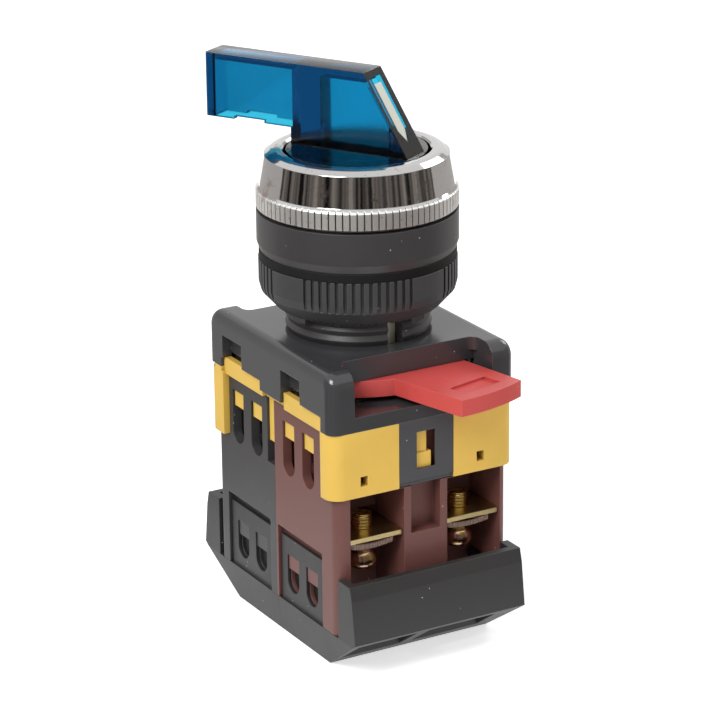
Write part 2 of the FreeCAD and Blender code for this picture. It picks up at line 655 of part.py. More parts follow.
def window_cut():
    """Pocket in the frame's front edge, open to the top and the front."""
    half = WINDOW_W / 2
    back = -FRAME_Y + WINDOW_DEPTH
    window = box(-half, half, -FRAME_Y - 1, back, WINDOW_SILL, FRAME_TOP + 1)
    return window.makeFillet(1.4, upright_edges(window, [(half, back), (-half, back)]))


def window_lining():
    """Lintel, sill and cheeks round the front pocket, and the ribs behind the left notches."""
    w = FRAME_WALL
    half = WINDOW_W / 2
    back = -FRAME_Y + WINDOW_DEPTH
    roof = FRAME_TOP - FRAME_ROOF_T / 2
    pieces = [box(-half - w, half + w, back, back + LINTEL_T, LINTEL_FOOT, roof)]
    pieces.append(box(-half - w, half + w, -FRAME_Y + w / 2, back + LINTEL_T, WINDOW_SILL - 0.7, WINDOW_SILL))
    for side in (-1, 1):
        pieces.append(box(side * half, side * (half + w / 2), -FRAME_Y + w / 2, back + LINTEL_T, WINDOW_SILL, roof))
    for y0, y1 in NOTCHES:
        pieces.append(box(-HALF_FRAME + w, -HALF_FRAME + w + 0.9, (y0 + y1) / 2, y1 + 0.1,
                          NOTCH_TOP - 3.0, NOTCH_TOP + 0.5))
    return pieces


def adapter_frame():
    """Black frame between the head and the contact blocks, the same when turned half round."""
    cuts = skirt_cuts() + [window_cut()]
    cuts += [turn(c, 180) for c in cuts]
    cuts.append(disc(TAIL_R + FIT, FRAME_TOP - FRAME_ROOF_T - 1, FRAME_TOP + 1))
    lining = window_lining()
    lining += [turn(c, 180) for c in lining]
    return joined([frame_shell().cut(cuts)] + lining)


def lock_lever():
    """Red ring round the neck's tail, with the finger lever that leaves through the window."""
    z0 = LOCK_TOP - LOCK_T
    ring = disc(LOCK_RING_R, z0, LOCK_TOP)
    fan = Part.makeCylinder(LOCK_FAN_R, LOCK_T, Vector(0, 0, z0), Vector(0, 0, 1), LOCK_FAN[1] - LOCK_FAN[0])
    fan = turn(fan, -90 + LOCK_FAN[0])
    root = LOCK_ROOT_W / 2
    tip = LOCK_TIP_W / 2
    plate = upright([(-root, -TAIL_R), (-tip, -LOCK_REACH - 1), (tip, -LOCK_REACH - 1), (root, -TAIL_R)], z0, LOCK_TOP)
    plate = plate.common(disc(LOCK_REACH, z0 - 1, LOCK_TOP + 1))
    dent_in, dent_len, dent_deep = LOCK_DENT
    dent = box(-tip * 0.6, tip * 0.6, -LOCK_REACH + dent_in, -LOCK_REACH + dent_in + dent_len,
               LOCK_TOP - dent_deep, LOCK_TOP + 1)
    whole = joined([ring, fan, plate])
    whole = whole.cut([disc(TAIL_R + RUN, z0 - 1, LOCK_TOP + 1), dent])
    return turn(whole, LOCK_TURN)


def corner_leg(which, side):
    """One yellow leg that wraps a lower front corner of the adapter."""
    end_y = -FRAME_Y + LEG_WRAP[which]
    x_in = CLIP_X[which]
    x_out = side * HALF_FRAME
    outer = rounded_block(x_in, x_out, -FRAME_Y, end_y, LEG_FOOT, FRAME_FOOT, LEG_CORNER_R, [(x_out, -FRAME_Y)])
    room_x = side * (HALF_FRAME - LEG_T)
    room = box(0, room_x, -FRAME_Y + LEG_T, end_y + 1, LEG_FOOT - 1, FRAME_FOOT + 1)
    hole_x = LEG_HOLES_X[which]
    hole = box(hole_x - LEG_HOLE_W / 2, hole_x + LEG_HOLE_W / 2, -FRAME_Y - 1, -FRAME_Y + LEG_T + 1,
               LEG_HOLE_Z[0], LEG_HOLE_Z[1])
    return outer.cut([room, hole])


def carrier_half():
    """Web, legs, hook and rims on the front half of the carrier."""
    y_in = -FRAME_Y + LEG_T + 0.2
    pieces = [box(-HALF_FRAME + 1.0, HALF_FRAME - 1.0, -FRAME_Y + 0.4, y_in, HOUSING_TOP - 0.9, FRAME_FOOT)]
    pieces += [corner_leg(which, side) for which, side in SIDES]
    pieces.append(box(HOOK_X[0], HOOK_X[1], -FRAME_Y + 0.7, y_in, CLIP_WINDOW_Z[0] - 0.3, HOUSING_TOP))
    pieces.append(box(HOOK_X[0], HOOK_BEAK_X, -FRAME_Y + 0.5, y_in, CLIP_WINDOW_Z[0] - 0.3, HOOK_STEP_Z))
    x0, x1 = -HALF_FRAME + 0.5, -HALF_FRAME + 0.5 + RIM_W
    pieces.append(box(x0, x1, -SKIRT_END + 0.1, TAB_Y[0] - SLIP, HOUSING_TOP, SKIRT_FOOT))
    pieces.append(box(x0, x1, TAB_Y[1] + SLIP, LEG_START - SLIP, HOUSING_TOP, SKIRT_FOOT))
    pieces.append(box(x1 - 0.4, -HALF_FRAME + FRAME_WALL + 0.6, -SKIRT_END + 0.1, LEG_START, HOUSING_TOP, DECK_TOP))
    back_leg = box(-HALF_FRAME, -HALF_FRAME + LEG_T, LEG_START, FRAME_Y - LEG_CORNER_R,
                   FRAME_FOOT - 0.1, FRAME_FOOT + TAB_GAP)
    pieces.append(back_leg)
    pieces.append(box(HALF_W - 0.4, SEAM_STEP_X + SLIP, -SEAM_STEP + SLIP, -SLIP, HOUSING_TOP - LATCH_H, HOUSING_TOP))
    return pieces


def contact_carrier():
    """Yellow carrier: deck, well for the lamp socket, rims, four corner legs and two clip hooks."""
    inset = FRAME_WALL + SLIP
    pieces = [box(-HALF_FRAME + inset, HALF_FRAME - inset, -FRAME_Y + inset, FRAME_Y - inset, HOUSING_TOP, DECK_TOP)]
    half = carrier_half()
    pieces += half + [turn(p, 180) for p in half]
    pieces.append(tube(WELL_R + WELL_WALL, WELL_R, WELL_FLOOR, DECK_TOP))
    pieces.append(disc(WELL_R + WELL_WALL, WELL_FLOOR - WELL_FLOOR_T, WELL_FLOOR))
    whole = joined(pieces)
    cuts = [disc(WELL_R, WELL_FLOOR, DECK_TOP + 1)]
    hole = PAD_R + 0.3
    for y in (-PUSH_Y, PUSH_Y):
        cuts.append(box(-hole, hole, y - hole, y + hole, WELL_FLOOR - 2, WELL_FLOOR + 0.01))
    return whole.cut(cuts)


def clip_plate():
    """Dark plate between two legs, with the window that the carrier's hook catches in."""
    x0, x1 = CLIP_X[LEFT] + FIT, CLIP_X[RIGHT] - FIT
    y_in = -FRAME_Y + 0.4 - FIT
    foot = LEG_FOOT + 0.1
    plate = box(x0, x1, -FRAME_Y, -FRAME_Y + LEG_T, foot, FRAME_FOOT)
    cuts = [box(x0 - 1, x1 + 1, y_in, -FRAME_Y + LEG_T + 1, HOUSING_TOP - 0.9 - FIT, FRAME_FOOT + 1)]
    cuts.append(box(x0 - 1, x1 + 1, -FRAME_Y - 1, -FRAME_Y + 0.3, foot - 1, LEG_FOOT + 0.8))
    cuts.append(box(CLIP_WINDOW_X[0], CLIP_WINDOW_X[1], -FRAME_Y - 1, -FRAME_Y + LEG_T + 1,
                    CLIP_WINDOW_Z[0], CLIP_WINDOW_Z[1]))
    cuts.append(box(x0 + 1.0, x1 - 1.0, y_in, -FRAME_Y + LEG_T + 1, CLIP_WINDOW_Z[0] - 0.5, FRAME_FOOT + 1))
    return plate.cut(cuts)


def keyhole_centres(side_centre, pitch):
    return side_centre - pitch / 2, side_centre + pitch / 2


def leg_seats():
    """Room for the carrier's legs and web at the top front of a contact block."""
    cuts = [box(-HALF_W - 1, HALF_W + 1, -HOUSING_D - 2, -FRAME_Y + LEG_T + SLIP, LEG_FOOT - SLIP, HOUSING_TOP + 1)]
    cuts.append(box(-HALF_W - 1, HALF_W + 1, -HOUSING_D - 2, -FRAME_Y + LEG_T + 0.2 + SLIP,
                    CLIP_WINDOW_Z[0] - 0.3 - SLIP, HOUSING_TOP + 1))
    for which, side in SIDES:
        cuts.append(box(side * (HALF_FRAME - LEG_T - SLIP), side * (HALF_W + 1), -HOUSING_D - 2,
                        -FRAME_Y + LEG_WRAP[which] + SLIP, LEG_FOOT - SLIP, HOUSING_TOP + 1))
    return cuts


def chambers():
    """Room for the plunger, the lamp well and the contacts."""
    inner = HALF_W - SIDE_WALL
    contact_y = POCKET_BACK + POCKET_WALL
    step_x = SEAM_STEP_X - SPLIT_WALL
    cuts = [box(-inner, step_x, CHAMBER_FAR, -SPLIT_WALL, CHAMBER_FLOOR, HOUSING_TOP + 1)]
    cuts.append(box(step_x - 1, inner, CHAMBER_FAR, -SEAM_STEP - SPLIT_WALL, CHAMBER_FLOOR, HOUSING_TOP + 1))
    cuts.append(disc(WELL_R + WELL_WALL + SLIP, WELL_FLOOR - WELL_FLOOR_T - SLIP, HOUSING_TOP + 1))
    cuts.append(box(CONTACT_X[0], CONTACT_X[1], contact_y, -SPLIT_WALL, CONTACT_FLOOR, CHAMBER_FLOOR - 1.5))
    cuts.append(box(CONTACT_X[0], CONTACT_X[1], contact_y, -SEAM_STEP - SPLIT_WALL, CHAMBER_FLOOR - 2, CHAMBER_FLOOR + 0.1))
    return cuts


def housing():
    """Moulded contact block: chambers, terminal pockets, keyholes and the recesses for the cover."""
    shape = rounded_block(-HALF_W, HALF_W, -HOUSING_D, -FIT / 2, HOUSING_FOOT, HOUSING_TOP,
                          HOUSING_CORNER_R, [(-HALF_W, -HOUSING_D), (HALF_W, -HOUSING_D)])
    cuts = leg_seats() + chambers()
    cuts.append(box(SEAM_STEP_X, HALF_W + 1, -SEAM_STEP, 1, SEAM_FOOT, HOUSING_TOP + 1))
    for which, side in SIDES:
        x0, x1 = POCKETS_X[which]
        cuts.append(box(x0, x1, -HOUSING_D - 1, POCKET_STEP_Y, HOUSING_FOOT - 1, POCKET_TOP))
        cuts.append(box(x0, x1, POCKET_STEP_Y - 1, POCKET_BACK, HOUSING_FOOT - 1, POCKET_BACK_TOP))
        strip = RIVETS_X[which]
        cuts.append(box(strip - STRIP_W / 2 - PLATE_GAP, strip + STRIP_W / 2 + PLATE_GAP, POCKET_BACK - 1,
                        POCKET_BACK + 2, PLATE_FOOT - FIT, PLATE_TOP + 1.2))
        for y in keyhole_centres(SIDE_CENTRES[which], KEYHOLE_PITCH):
            cuts.append(keyhole(side * (HALF_W + 1), side * (HALF_W - SIDE_WALL - 0.5), y, KEYHOLE_W,
                                KEYHOLE_FOOT, KEYHOLE_TOP))
        cuts.append(box(side * (HALF_W - TONGUE_RECESS_D), side * (HALF_W + 1),
                        SIDE_CENTRES[which] - TONGUE_RECESS_W / 2, SIDE_CENTRES[which] + TONGUE_RECESS_W / 2,
                        HOUSING_FOOT - 1, TONGUE_RECESS_TOP))
        for y in keyhole_centres(SIDE_CENTRES[which], COVER_SLOT_PITCH):
            cuts.append(keyhole(side * (HALF_W - TONGUE_RECESS_D - CATCH_WELL_D), side * HALF_W, y,
                                COVER_SLOT_W - 2 * SLIP, COVER_SLOT_FOOT + SLIP, COVER_SLOT_TOP - CATCH_H))
    cuts.append(box(CENTRE_RECESS_X[0], CENTRE_RECESS_X[1], -HOUSING_D - 1, -HOUSING_D + CENTRE_RECESS_D,
                    CENTRE_RECESS_FOOT, LEG_FOOT + 1))
    catches = []
    half = COVER_SLOT_W / 2 - SLIP
    for which, side in SIDES:
        for y in keyhole_centres(SIDE_CENTRES[which], COVER_SLOT_PITCH):
            catches.append(box(side * (HALF_W - TONGUE_RECESS_D - 0.2), side * (HALF_W - 0.6), y - half, y + half,
                               COVER_SLOT_TOP - CATCH_H, COVER_SLOT_TOP - SLIP))
    return joined([shape.cut(cuts)] + catches)


def bridge_foot(rear):
    """Underside of the moving bridge at rest: open rear block above its contacts, closed front block below."""
    if rear:
        return PLATE_TOP + 2 * RIVET_T + STROKE + FIT
    return PLATE_FOOT - 2 * RIVET_T - FIT - BRIDGE_T


def plunger(rear):
    """Yellow push piece: pad under the sleeve, beam, two risers with tongues, and the lower stem."""
    steep = math.atan2(STROKE, math.radians(THROW) * ROTOR_BORE_R)
    pad_z = LIFT_FACE - PAD_R / math.cos(steep) - PAD_GAP
    pieces = [box(-PAD_R, PAD_R, -PUSH_Y - PAD_R, -PUSH_Y + PAD_R, BEAM_FOOT, pad_z)]
    pieces.append(Part.makeCylinder(PAD_R, 2 * PAD_R, Vector(0, -PUSH_Y - PAD_R, pad_z), Vector(0, 1, 0)))
    inner_x = HALF_W - SIDE_WALL - 0.3
    pieces.append(box(-inner_x, inner_x, -PUSH_Y - BEAM_D / 2, -PUSH_Y + BEAM_D / 2, BEAM_FOOT, BEAM_TOP))
    reach = KEYHOLE_PITCH / 2 + TONGUE_W / 2
    top = KEYHOLE_TOP - 0.1
    for which, side in SIDES:
        centre = SIDE_CENTRES[which]
        pieces.append(box(side * (inner_x - RISER_T), side * inner_x, centre - reach, centre + reach, BEAM_FOOT, top))
        for y in keyhole_centres(centre, KEYHOLE_PITCH):
            pieces.append(box(side * (inner_x - 0.1), side * (HALF_W - TONGUE_IN), y - TONGUE_W / 2, y + TONGUE_W / 2,
                              top - TONGUE_H, top))
    seat = bridge_foot(rear)
    pieces.append(disc(STEM_R, seat - STEM_FOOT, BEAM_FOOT + 0.1, 0, -PUSH_Y))
    pieces.append(disc(SPRING_R, seat - STEM_FOOT, seat, 0, -PUSH_Y))
    return joined(pieces)


def contact_bridge(rear):
    """Moving brass strip with a rivet at each end, threaded on the plunger's stem."""
    z = bridge_foot(rear)
    x0, x1 = RIVETS_X[LEFT] - BRIDGE_END, RIVETS_X[RIGHT] + BRIDGE_END
    pieces = [box(x0, x1, -PUSH_Y - BRIDGE_W / 2, -PUSH_Y + BRIDGE_W / 2, z, z + BRIDGE_T)]
    for x in RIVETS_X:
        base = z - RIVET_T if rear else z + BRIDGE_T
        pieces.append(disc(RIVET_R, base, base + RIVET_T, x, -PUSH_Y))
    return joined(pieces).cut(disc(STEM_R + FIT, z - 1, z + 2, 0, -PUSH_Y))


def return_spring(rear):
    """Spring under the plunger, on the block's floor."""
    foot = bridge_foot(rear) - STEM_FOOT
    return coil(0, -PUSH_Y, CONTACT_FLOOR + FIT, foot - FIT, SPRING_R - WIRE_R, RETURN_TURNS)


def contact_spring(rear):
    """Small spring between the beam and the bridge."""
    z0 = bridge_foot(rear) + BRIDGE_T + FIT
    return coil(0, -PUSH_Y, z0, BEAM_FOOT - FIT, SPRING_R - WIRE_R, CONTACT_TURNS[rear])


def fixed_contact(rear, which):
    """Brass terminal plate with the strip and rivet that meet the bridge."""
    x0, x1 = PLATES_X[which]
    pieces = [box(x0, x1, PLATE_FRONT, POCKET_BACK - FIT, PLATE_FOOT, PLATE_TOP)]
    strip = RIVETS_X[which]
    pieces.append(box(strip - STRIP_W / 2, strip + STRIP_W / 2, POCKET_BACK - 1, -PUSH_Y + BRIDGE_W / 2,
                      PLATE_FOOT, PLATE_TOP))
    base = PLATE_TOP if rear else PLATE_FOOT - RIVET_T
    pieces.append(disc(RIVET_R, base, base + RIVET_T, strip, -PUSH_Y))
    return joined(pieces).cut(disc(SCREW_R + FIT, PLATE_FOOT - 1, PLATE_TOP + 1, SCREWS_X[which], SCREW_Y))


def terminal_screw(x, y):
    """One clamping screw, head down."""
    foot = HEAD_TOP - SCREW_HEAD_H
    tip = PLATE_TOP + STUB_H
    edge = SCREW_HEAD_EDGE
    screw = turned([(0, foot), (SCREW_HEAD_R - edge, foot), (SCREW_HEAD_R, foot + edge), (SCREW_HEAD_R, HEAD_TOP - edge),
                    (SCREW_HEAD_R - edge / 2, HEAD_TOP), (NECK_HEAD_R, HEAD_TOP), (NECK_HEAD_R, WASHER_FOOT),
                    (SCREW_R, WASHER_FOOT), (SCREW_R, tip - STUB_TIP), (SCREW_R - STUB_TIP, tip), (0, tip)])
    width, depth = DRIVE_SLOT
    slot = box(-SCREW_HEAD_R - 1, SCREW_HEAD_R + 1, -width / 2, width / 2, foot - 1, foot + depth)
    screw = screw.cut(slot)
    screw.translate(Vector(x, y, 0))
    return screw


def four_places(make):
    """The four terminal places: two in front, and the same two turned half round."""
    front = [make(x, SCREW_Y) for x in SCREWS_X]
    return Part.makeCompound(front + [turn(s, 180) for s in front])


def clamp_washer(x, y):
    half = WASHER_W / 2
    plate = box(x - half, x + half, y - half, y + half, WASHER_FOOT, WASHER_TOP)
    return plate.cut(disc(SCREW_R + FIT, WASHER_FOOT - 1, WASHER_TOP + 1, x, y))


def cover_shell():
    """Outside of a cover: tub under the block and apron in front of the terminals."""
    face = -HOUSING_D - SLIP
    top = COVER_TOP
    tub = across([(-FIT / 2, top), (-FIT / 2, COVER_FOOT), (COVER_FOOT_Y, COVER_FOOT), (APRON_FOOT_Y, APRON_FOOT),
                  (face, top)], -HALF_W, HALF_W)
    wedges = []
    for side in (-1, 1):
        wedge = face_of([(side * (HALF_W + 1), 1, top), (side * HALF_W, 1, top),
                         (side * (HALF_W - COVER_TAPER), 1, COVER_FOOT - 0.1),
                         (side * (HALF_W + 1), 1, COVER_FOOT - 0.1)])
        wedges.append(wedge.extrude(Vector(0, 2 * APRON_FOOT_Y, 0)))
    apron = across([(face, top), (APRON_FOOT_Y, APRON_FOOT), (APRON_BEVEL_Y, APRON_BEVEL_Z),
                    (APRON_TOP_Y, APRON_TOP), (face, APRON_TOP)], -HALF_W, HALF_W)
    return tub.cut(wedges).fuse(apron)


def cover_room():
    """Inside of a cover."""
    w = COVER_WALL
    top = HOUSING_FOOT + 1
    slant = math.atan2(APRON_FOOT - COVER_FOOT, COVER_FOOT_Y - APRON_FOOT_Y)
    rise = w / math.cos(slant)
    inner_x = HALF_W - w
    return across([(-w, top), (-w, COVER_FOOT + w), (COVER_FOOT_Y + w * math.tan(slant / 2), COVER_FOOT + w),
                   (APRON_FOOT_Y + w, APRON_FOOT + rise - w * math.tan(slant)), (APRON_TOP_Y + w, APRON_TOP + 1),
                   (-HOUSING_D + 0.5, APRON_TOP + 1), (-HOUSING_D + 0.5, top)], -inner_x, inner_x)


def cover_tongue(which, side):
    """Side tongue with the two slots that snap over the block's catches."""
    half = COVER_TONGUE_W / 2
    centre = SIDE_CENTRES[which]
    tongue = box(side * (HALF_W - TONGUE_RECESS_D + SLIP), side * (HALF_W - 0.4), centre - half, centre + half,
                 COVER_TOP - 0.6, COVER_TONGUE_TOP)
    for y in keyhole_centres(centre, COVER_SLOT_PITCH):
        tongue = tongue.cut(keyhole(side * (HALF_W + 1), side * (HALF_W - 2), y, COVER_SLOT_W,
                                    COVER_SLOT_FOOT, COVER_SLOT_TOP))
    return tongue


def terminal_cover():
    """Clip-on cover of one block, open towards the terminals and with two wire holes below."""
    holes = [box(x0, x1, WIRE_HOLE_Y[0], WIRE_HOLE_Y[1], COVER_FOOT - 1, APRON_FOOT + 0.6) for x0, x1 in WIRE_HOLES_X]
    whole = cover_shell().cut([cover_room()] + holes)
    return joined([whole] + [cover_tongue(which, side) for which, side in SIDES])


def build():
    nodes = {
        "lever": lever(),
        "pointer_insert": pointer_insert(),
        "cam_rotor": cam_rotor(),
        "bezel_ring": bezel_ring(),
        "head_body": head_body(),
        "panel_gasket": panel_gasket(),
        "panel_nut": panel_nut(),
        "detent_ball": detent_ball(),
        "detent_spring": detent_spring(),
        "lamp": lamp(),
        "lamp_holder": lamp_holder(),
        "adapter_frame": adapter_frame(),
        "lock_lever": lock_lever(),
        "contact_carrier": contact_carrier(),
        "terminal_screws": four_places(terminal_screw),
        "clamp_washers": four_places(clamp_washer),
    }
    for name, rear in (("front", False), ("rear", True)):
        angle = 180 if rear else 0
        nodes["clip_plate_" + name] = turn(clip_plate(), angle)
        nodes["housing_" + name] = turn(housing(), angle)
        nodes["plunger_" + name] = turn(plunger(rear), angle)
        nodes["contact_bridge_" + name] = turn(contact_bridge(rear), angle)
        nodes["return_spring_" + name] = turn(return_spring(rear), angle)
        nodes["contact_spring_" + name] = turn(contact_spring(rear), angle)
        nodes["cover_" + name] = turn(terminal_cover(), angle)
        for which, word in ((LEFT, "left"), (RIGHT, "right")):
            nodes["fixed_contact_" + name + "_" + word] = turn(fixed_contact(rear, which), angle)
    return nodes


def main():
    os.makedirs("parts", exist_ok=True)
    for name, shape in build().items():
        shape.exportStep(os.path.join("parts", name + ".step"))
        print(name, len(shape.Solids), round(shape.Volume, 2), shape.isValid())


main()
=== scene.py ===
import json
import math

import bmesh
import bpy
from bpy.props import FloatProperty, FloatVectorProperty, IntProperty, PointerProperty
from bpy.types import Operator, Panel, PropertyGroup
from mathutils import Matrix, Vector


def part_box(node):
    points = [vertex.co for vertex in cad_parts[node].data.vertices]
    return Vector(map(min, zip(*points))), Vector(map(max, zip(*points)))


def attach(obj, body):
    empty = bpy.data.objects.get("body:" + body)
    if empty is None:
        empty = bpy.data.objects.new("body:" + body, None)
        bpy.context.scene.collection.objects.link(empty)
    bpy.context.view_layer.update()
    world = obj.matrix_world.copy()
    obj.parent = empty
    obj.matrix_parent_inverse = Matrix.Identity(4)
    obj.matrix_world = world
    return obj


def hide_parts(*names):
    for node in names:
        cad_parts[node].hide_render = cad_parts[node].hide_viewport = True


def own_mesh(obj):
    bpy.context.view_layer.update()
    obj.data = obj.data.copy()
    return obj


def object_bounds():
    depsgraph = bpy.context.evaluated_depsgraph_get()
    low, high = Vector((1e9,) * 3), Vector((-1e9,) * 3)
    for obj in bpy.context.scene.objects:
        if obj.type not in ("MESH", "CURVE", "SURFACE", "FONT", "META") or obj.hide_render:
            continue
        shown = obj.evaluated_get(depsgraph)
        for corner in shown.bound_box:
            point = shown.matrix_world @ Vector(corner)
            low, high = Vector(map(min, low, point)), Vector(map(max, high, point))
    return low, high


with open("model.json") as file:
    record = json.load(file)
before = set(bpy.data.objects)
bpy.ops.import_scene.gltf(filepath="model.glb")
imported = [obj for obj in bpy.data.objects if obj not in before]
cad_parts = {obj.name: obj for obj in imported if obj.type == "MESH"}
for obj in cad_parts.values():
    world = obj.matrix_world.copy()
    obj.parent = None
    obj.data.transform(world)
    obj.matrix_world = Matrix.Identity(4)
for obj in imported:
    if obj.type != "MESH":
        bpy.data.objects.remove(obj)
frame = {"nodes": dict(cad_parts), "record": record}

bl_info = {
    "name": "Cam switch",
    "version": (1, 0, 0),
    "blender": (4, 5, 0),
    "location": "View3D > Sidebar > Cam switch",
    "description": "Dresses an illuminated selector switch with its plastics, metals and small details",
    "category": "Object",
}

MM = 0.001
CAD_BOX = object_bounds()
BEZEL_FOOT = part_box("bezel_ring")[0].z
PLATE_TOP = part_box("fixed_contact_front_left")[1].z
SCREW_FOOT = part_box("terminal_screws")[0].z
WASHER_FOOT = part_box("clamp_washers")[0].z
WASHER_MIDDLE = WASHER_FOOT + 0.1 * MM

# Camera of the photograph, found by fitting the collar, the adapter and the covers
CAMERA_AZIMUTH = -29.837
CAMERA_ELEVATION = 19.51
CAMERA_ROLL = -0.593
CAMERA_DISTANCE = 0.470994
CAMERA_ASIDE = 0.000141
CAMERA_HEIGHT = -0.016579
CAMERA_LENS = 159.27
CAMERA_SENSOR = 36.0
CAMERA_CLIP = 0.01

# Moulded plastics: shades of the patches, edges paler from wear and a painted highlight, reach and darkness
# of the painted shade in creases, grain, dust
PLASTIC_IOR = 1.54
RUBBER_IOR = 1.5
PATCH_SHADES = (0.88, 1.1)
PATCH_ROUGHNESS = (-0.07, 0.09)
EDGE_WEAR_AND_SHEEN = 0.35
EDGE_FULL_AT = 0.86
WEAR_AND_SHEEN_PALER = 0.06
WEAR_AND_SHEEN_GAIN = 1.5
CREASE_REACH = 1.5 * MM
CREASE_PAINTED_SHADE = 0.25
GRAIN_DEPTH = 0.04 * MM
DUST_SHARE = 0.3
DUST_COLOUR = "#C9C4BA"

# Clear lever: the tint is what a thickness lets through, so thick places are bluer. Ripples, here and
# below: spacing, depth, strength and detail (rolling lines: without the spacing)
LEVER_IOR = 1.58
LEVER_DEPTH_TINT = (0.02, 0.8, 0.865, 1.0)
LEVER_DEPTH_DENSITY = 2700.0
LEVER_RIPPLE = (3 * MM, 0.1 * MM, 0.12, 2.0)
LEVER_ROUGHNESS = (0.08, 0.2)

# Bulb glass
GLASS_IOR = 1.52
GLASS_SEED = 2 * MM
GLASS_ROUGHNESS = (0.02, 0.08)

# Polished metals: polishing marks, shades and roughness of the haze
POLISH_SPACING = 0.35 * MM
POLISH_DEPTH = 0.02 * MM
POLISH_DETAIL = 3.0
HAZE_SHADES = (0.9, 1.05)
HAZE_ROUGHNESS = (0.7, 1.5)

# Chrome: reach and darkness of the painted shade in its grooves, its stains, pits and ripple; the knurl's
# dullness and painted sheen, which fade out above it
GROOVE_REACH = 0.9 * MM
GROOVE_PAINTED_SHADE = 0.12
STAIN_SPACING = 4 * MM
STAIN_SHARE = 0.55
PIT_SPACING = 0.9 * MM
PIT_SIZE = 0.09
PIT_SHADE = 0.35
CHROME_RIPPLE = (2.2 * MM, 0.03 * MM, 0.25, 2.0)
CHROME_ROUGHNESS = (0.06, 0.3)
KNURL_FADE = 0.3 * MM
KNURL_DULLNESS = 0.5
KNURL_SHEEN_COLOUR = "#FFFEFC"

# Chromate film on the screws: pink below the first height over the washers' foot, gold above the second
FILM_SPACING = 1.1 * MM
FILM_DEPTH = 0.12 * MM
FILM_STRENGTH = 0.8
FILM_ROUGHNESS = (0.12, 0.3)
FILM_PINK_BELOW = -0.4 * MM
FILM_GOLD_ABOVE = 0.6 * MM

# Rolled sheet: how far its lines are drawn out, spacing, shades and roughness of its stains
ROLLING_STRETCH = (0.05, 1.0, 1.0)
ROLLING_LINES = (0.03 * MM, 0.3, 2.0)
PATINA_SPACING = 2.5 * MM
PATINA_SHADES = (0.72, 1.08)
PATINA_ROUGHNESS = (-0.08, 0.14)
SHEET_EDGE = 0.6

# Mesh work: what counts as one point, as flat and as an edge
MERGE_DISTANCE = 0.001 * MM
FLAT_ANGLE = math.radians(0.5)
EDGE_ANGLE = math.radians(32)
EDGE_SEGMENTS = 2

# Screw: share of the head's radius and millimetres over its foot, then share of the shank's radius and
# millimetres below its tip
SCREW_HEAD = ((0.0, 0.0), (0.55, 0.0), (0.86, 0.35), (1.0, 1.0), (1.0, 1.5), (0.93, 2.2), (0.78, 2.8),
              (0.6, 3.2))
SCREW_SHOULDER = 3.4
SCREW_TIP = ((1.0, 0.45), (0.9, 0.2), (0.6, 0.02), (0.25, 0.12), (0.0, 0.15))
SCREW_STEPS = 40
THREAD_STEPS = 28
THREAD_SIDES = 6

# Washer: gap round the screw, middle level of its dish, share of its side with ribs, height of a rib
WASHER_STEPS = 48
WASHER_HOLE_GAP = 0.15 * MM
DISH_LEVEL = 0.45
RIB_ROW = 0.46
RIB_HEIGHT = 0.86
RIB_SIDES = 8

# Catch wells of the front block: how far their middles lie from the seam, in its thick and thin walls
WELLS_THICK = (-10.025 * MM, -4.375 * MM)
WELLS_THIN = (-11.225 * MM, -5.575 * MM)
SHADE_EDGE = 0.05 * MM

# Studio: floor, sky and soft lights (name, place, size, power, whether gloss shows it)
FLOOR_HALF = 1.5
FLOOR_COLOUR = "#F4F4F4"
FLOOR_LIFT = 0.6
WHITE = (1.0, 1.0, 1.0, 1.0)
SKY_LIGHT = 0.34
LIGHT_AIM = (0.0, 0.0, -0.015)
SOFT_LIGHTS = (
    ("key_light", (-0.55, -0.25, 0.55), 0.35, 5.0, True),
    ("fill_light", (0.45, -0.65, 0.25), 0.5, 1.4, False),
    ("back_light", (0.72, 0.22, 0.5), 0.4, 2.4, True),
)

# Dim room that only gloss shows: half angles of its dark part and of the whole, and its measures
ROOM_DARK = 100.0
ROOM_SPREAD = 156.0
ROOM_STEPS = 78
ROOM_INNER = 0.06
ROOM_RADIUS = 1.4
ROOM_HEIGHT = 0.85
ROOM_STRIPES = 4.2
ROOM_COLOUR = "#F2E6DC"
CARD_COLOUR = "#F4F0EC"
CARD_LIGHT = 0.62


def linear(code):
    """Linear colour of an sRGB hex value."""
    channels = [int(code[i:i + 2], 16) / 255 for i in (1, 3, 5)]
    return [c / 12.92 if c <= 0.04045 else ((c + 0.055) / 1.055) ** 2.4 for c in channels]


def colour(name, code):
    words = name + " as it looks in plain light"
    return FloatVectorProperty(name=name, description=words, subtype="COLOR", min=0.0, max=1.0,
                               default=linear(code))


def length(name, words, millimetres):
    return FloatProperty(name=name, description=words, unit="LENGTH", subtype="DISTANCE",
                         default=millimetres * MM)


class CamSwitchColours(PropertyGroup):
    lever: colour("Lever blue", "#BFE0F2")
    pointer: colour("Pointer cream", "#D5D6C8")
    sleeve: colour("Sleeve cream", "#DED8BE")
    chrome: colour("Chrome", "#C6C5C4")
    stain: colour("Chrome stain", "#8E5A52")
    collar: colour("Collar black", "#3C3A3C")
    nut: colour("Nut black", "#3F3F41")
    gasket: colour("Gasket black", "#070707")
    adapter: colour("Adapter black", "#3F3F41")
    clip: colour("Clip plate grey", "#48484B")
    rear_block: colour("Rear block grey", "#3C3B3C")
    front_block: colour("Front block brown", "#704640")
    cover: colour("Cover grey", "#2C2B2B")
    carrier: colour("Carrier yellow", "#EAC055")
    lock: colour("Lock lever red", "#D2504C")
    brass: colour("Contact brass", "#D9C48F")
    washer: colour("Zinc washer", "#BFA79B")
    screw: colour("Screw gold", "#E2C67A")
    screw_pink: colour("Screw pink", "#D9A3A8")
    steel: colour("Bright steel", "#B9B9BC")
    glass: colour("Lamp glass", "#F4F1E6")


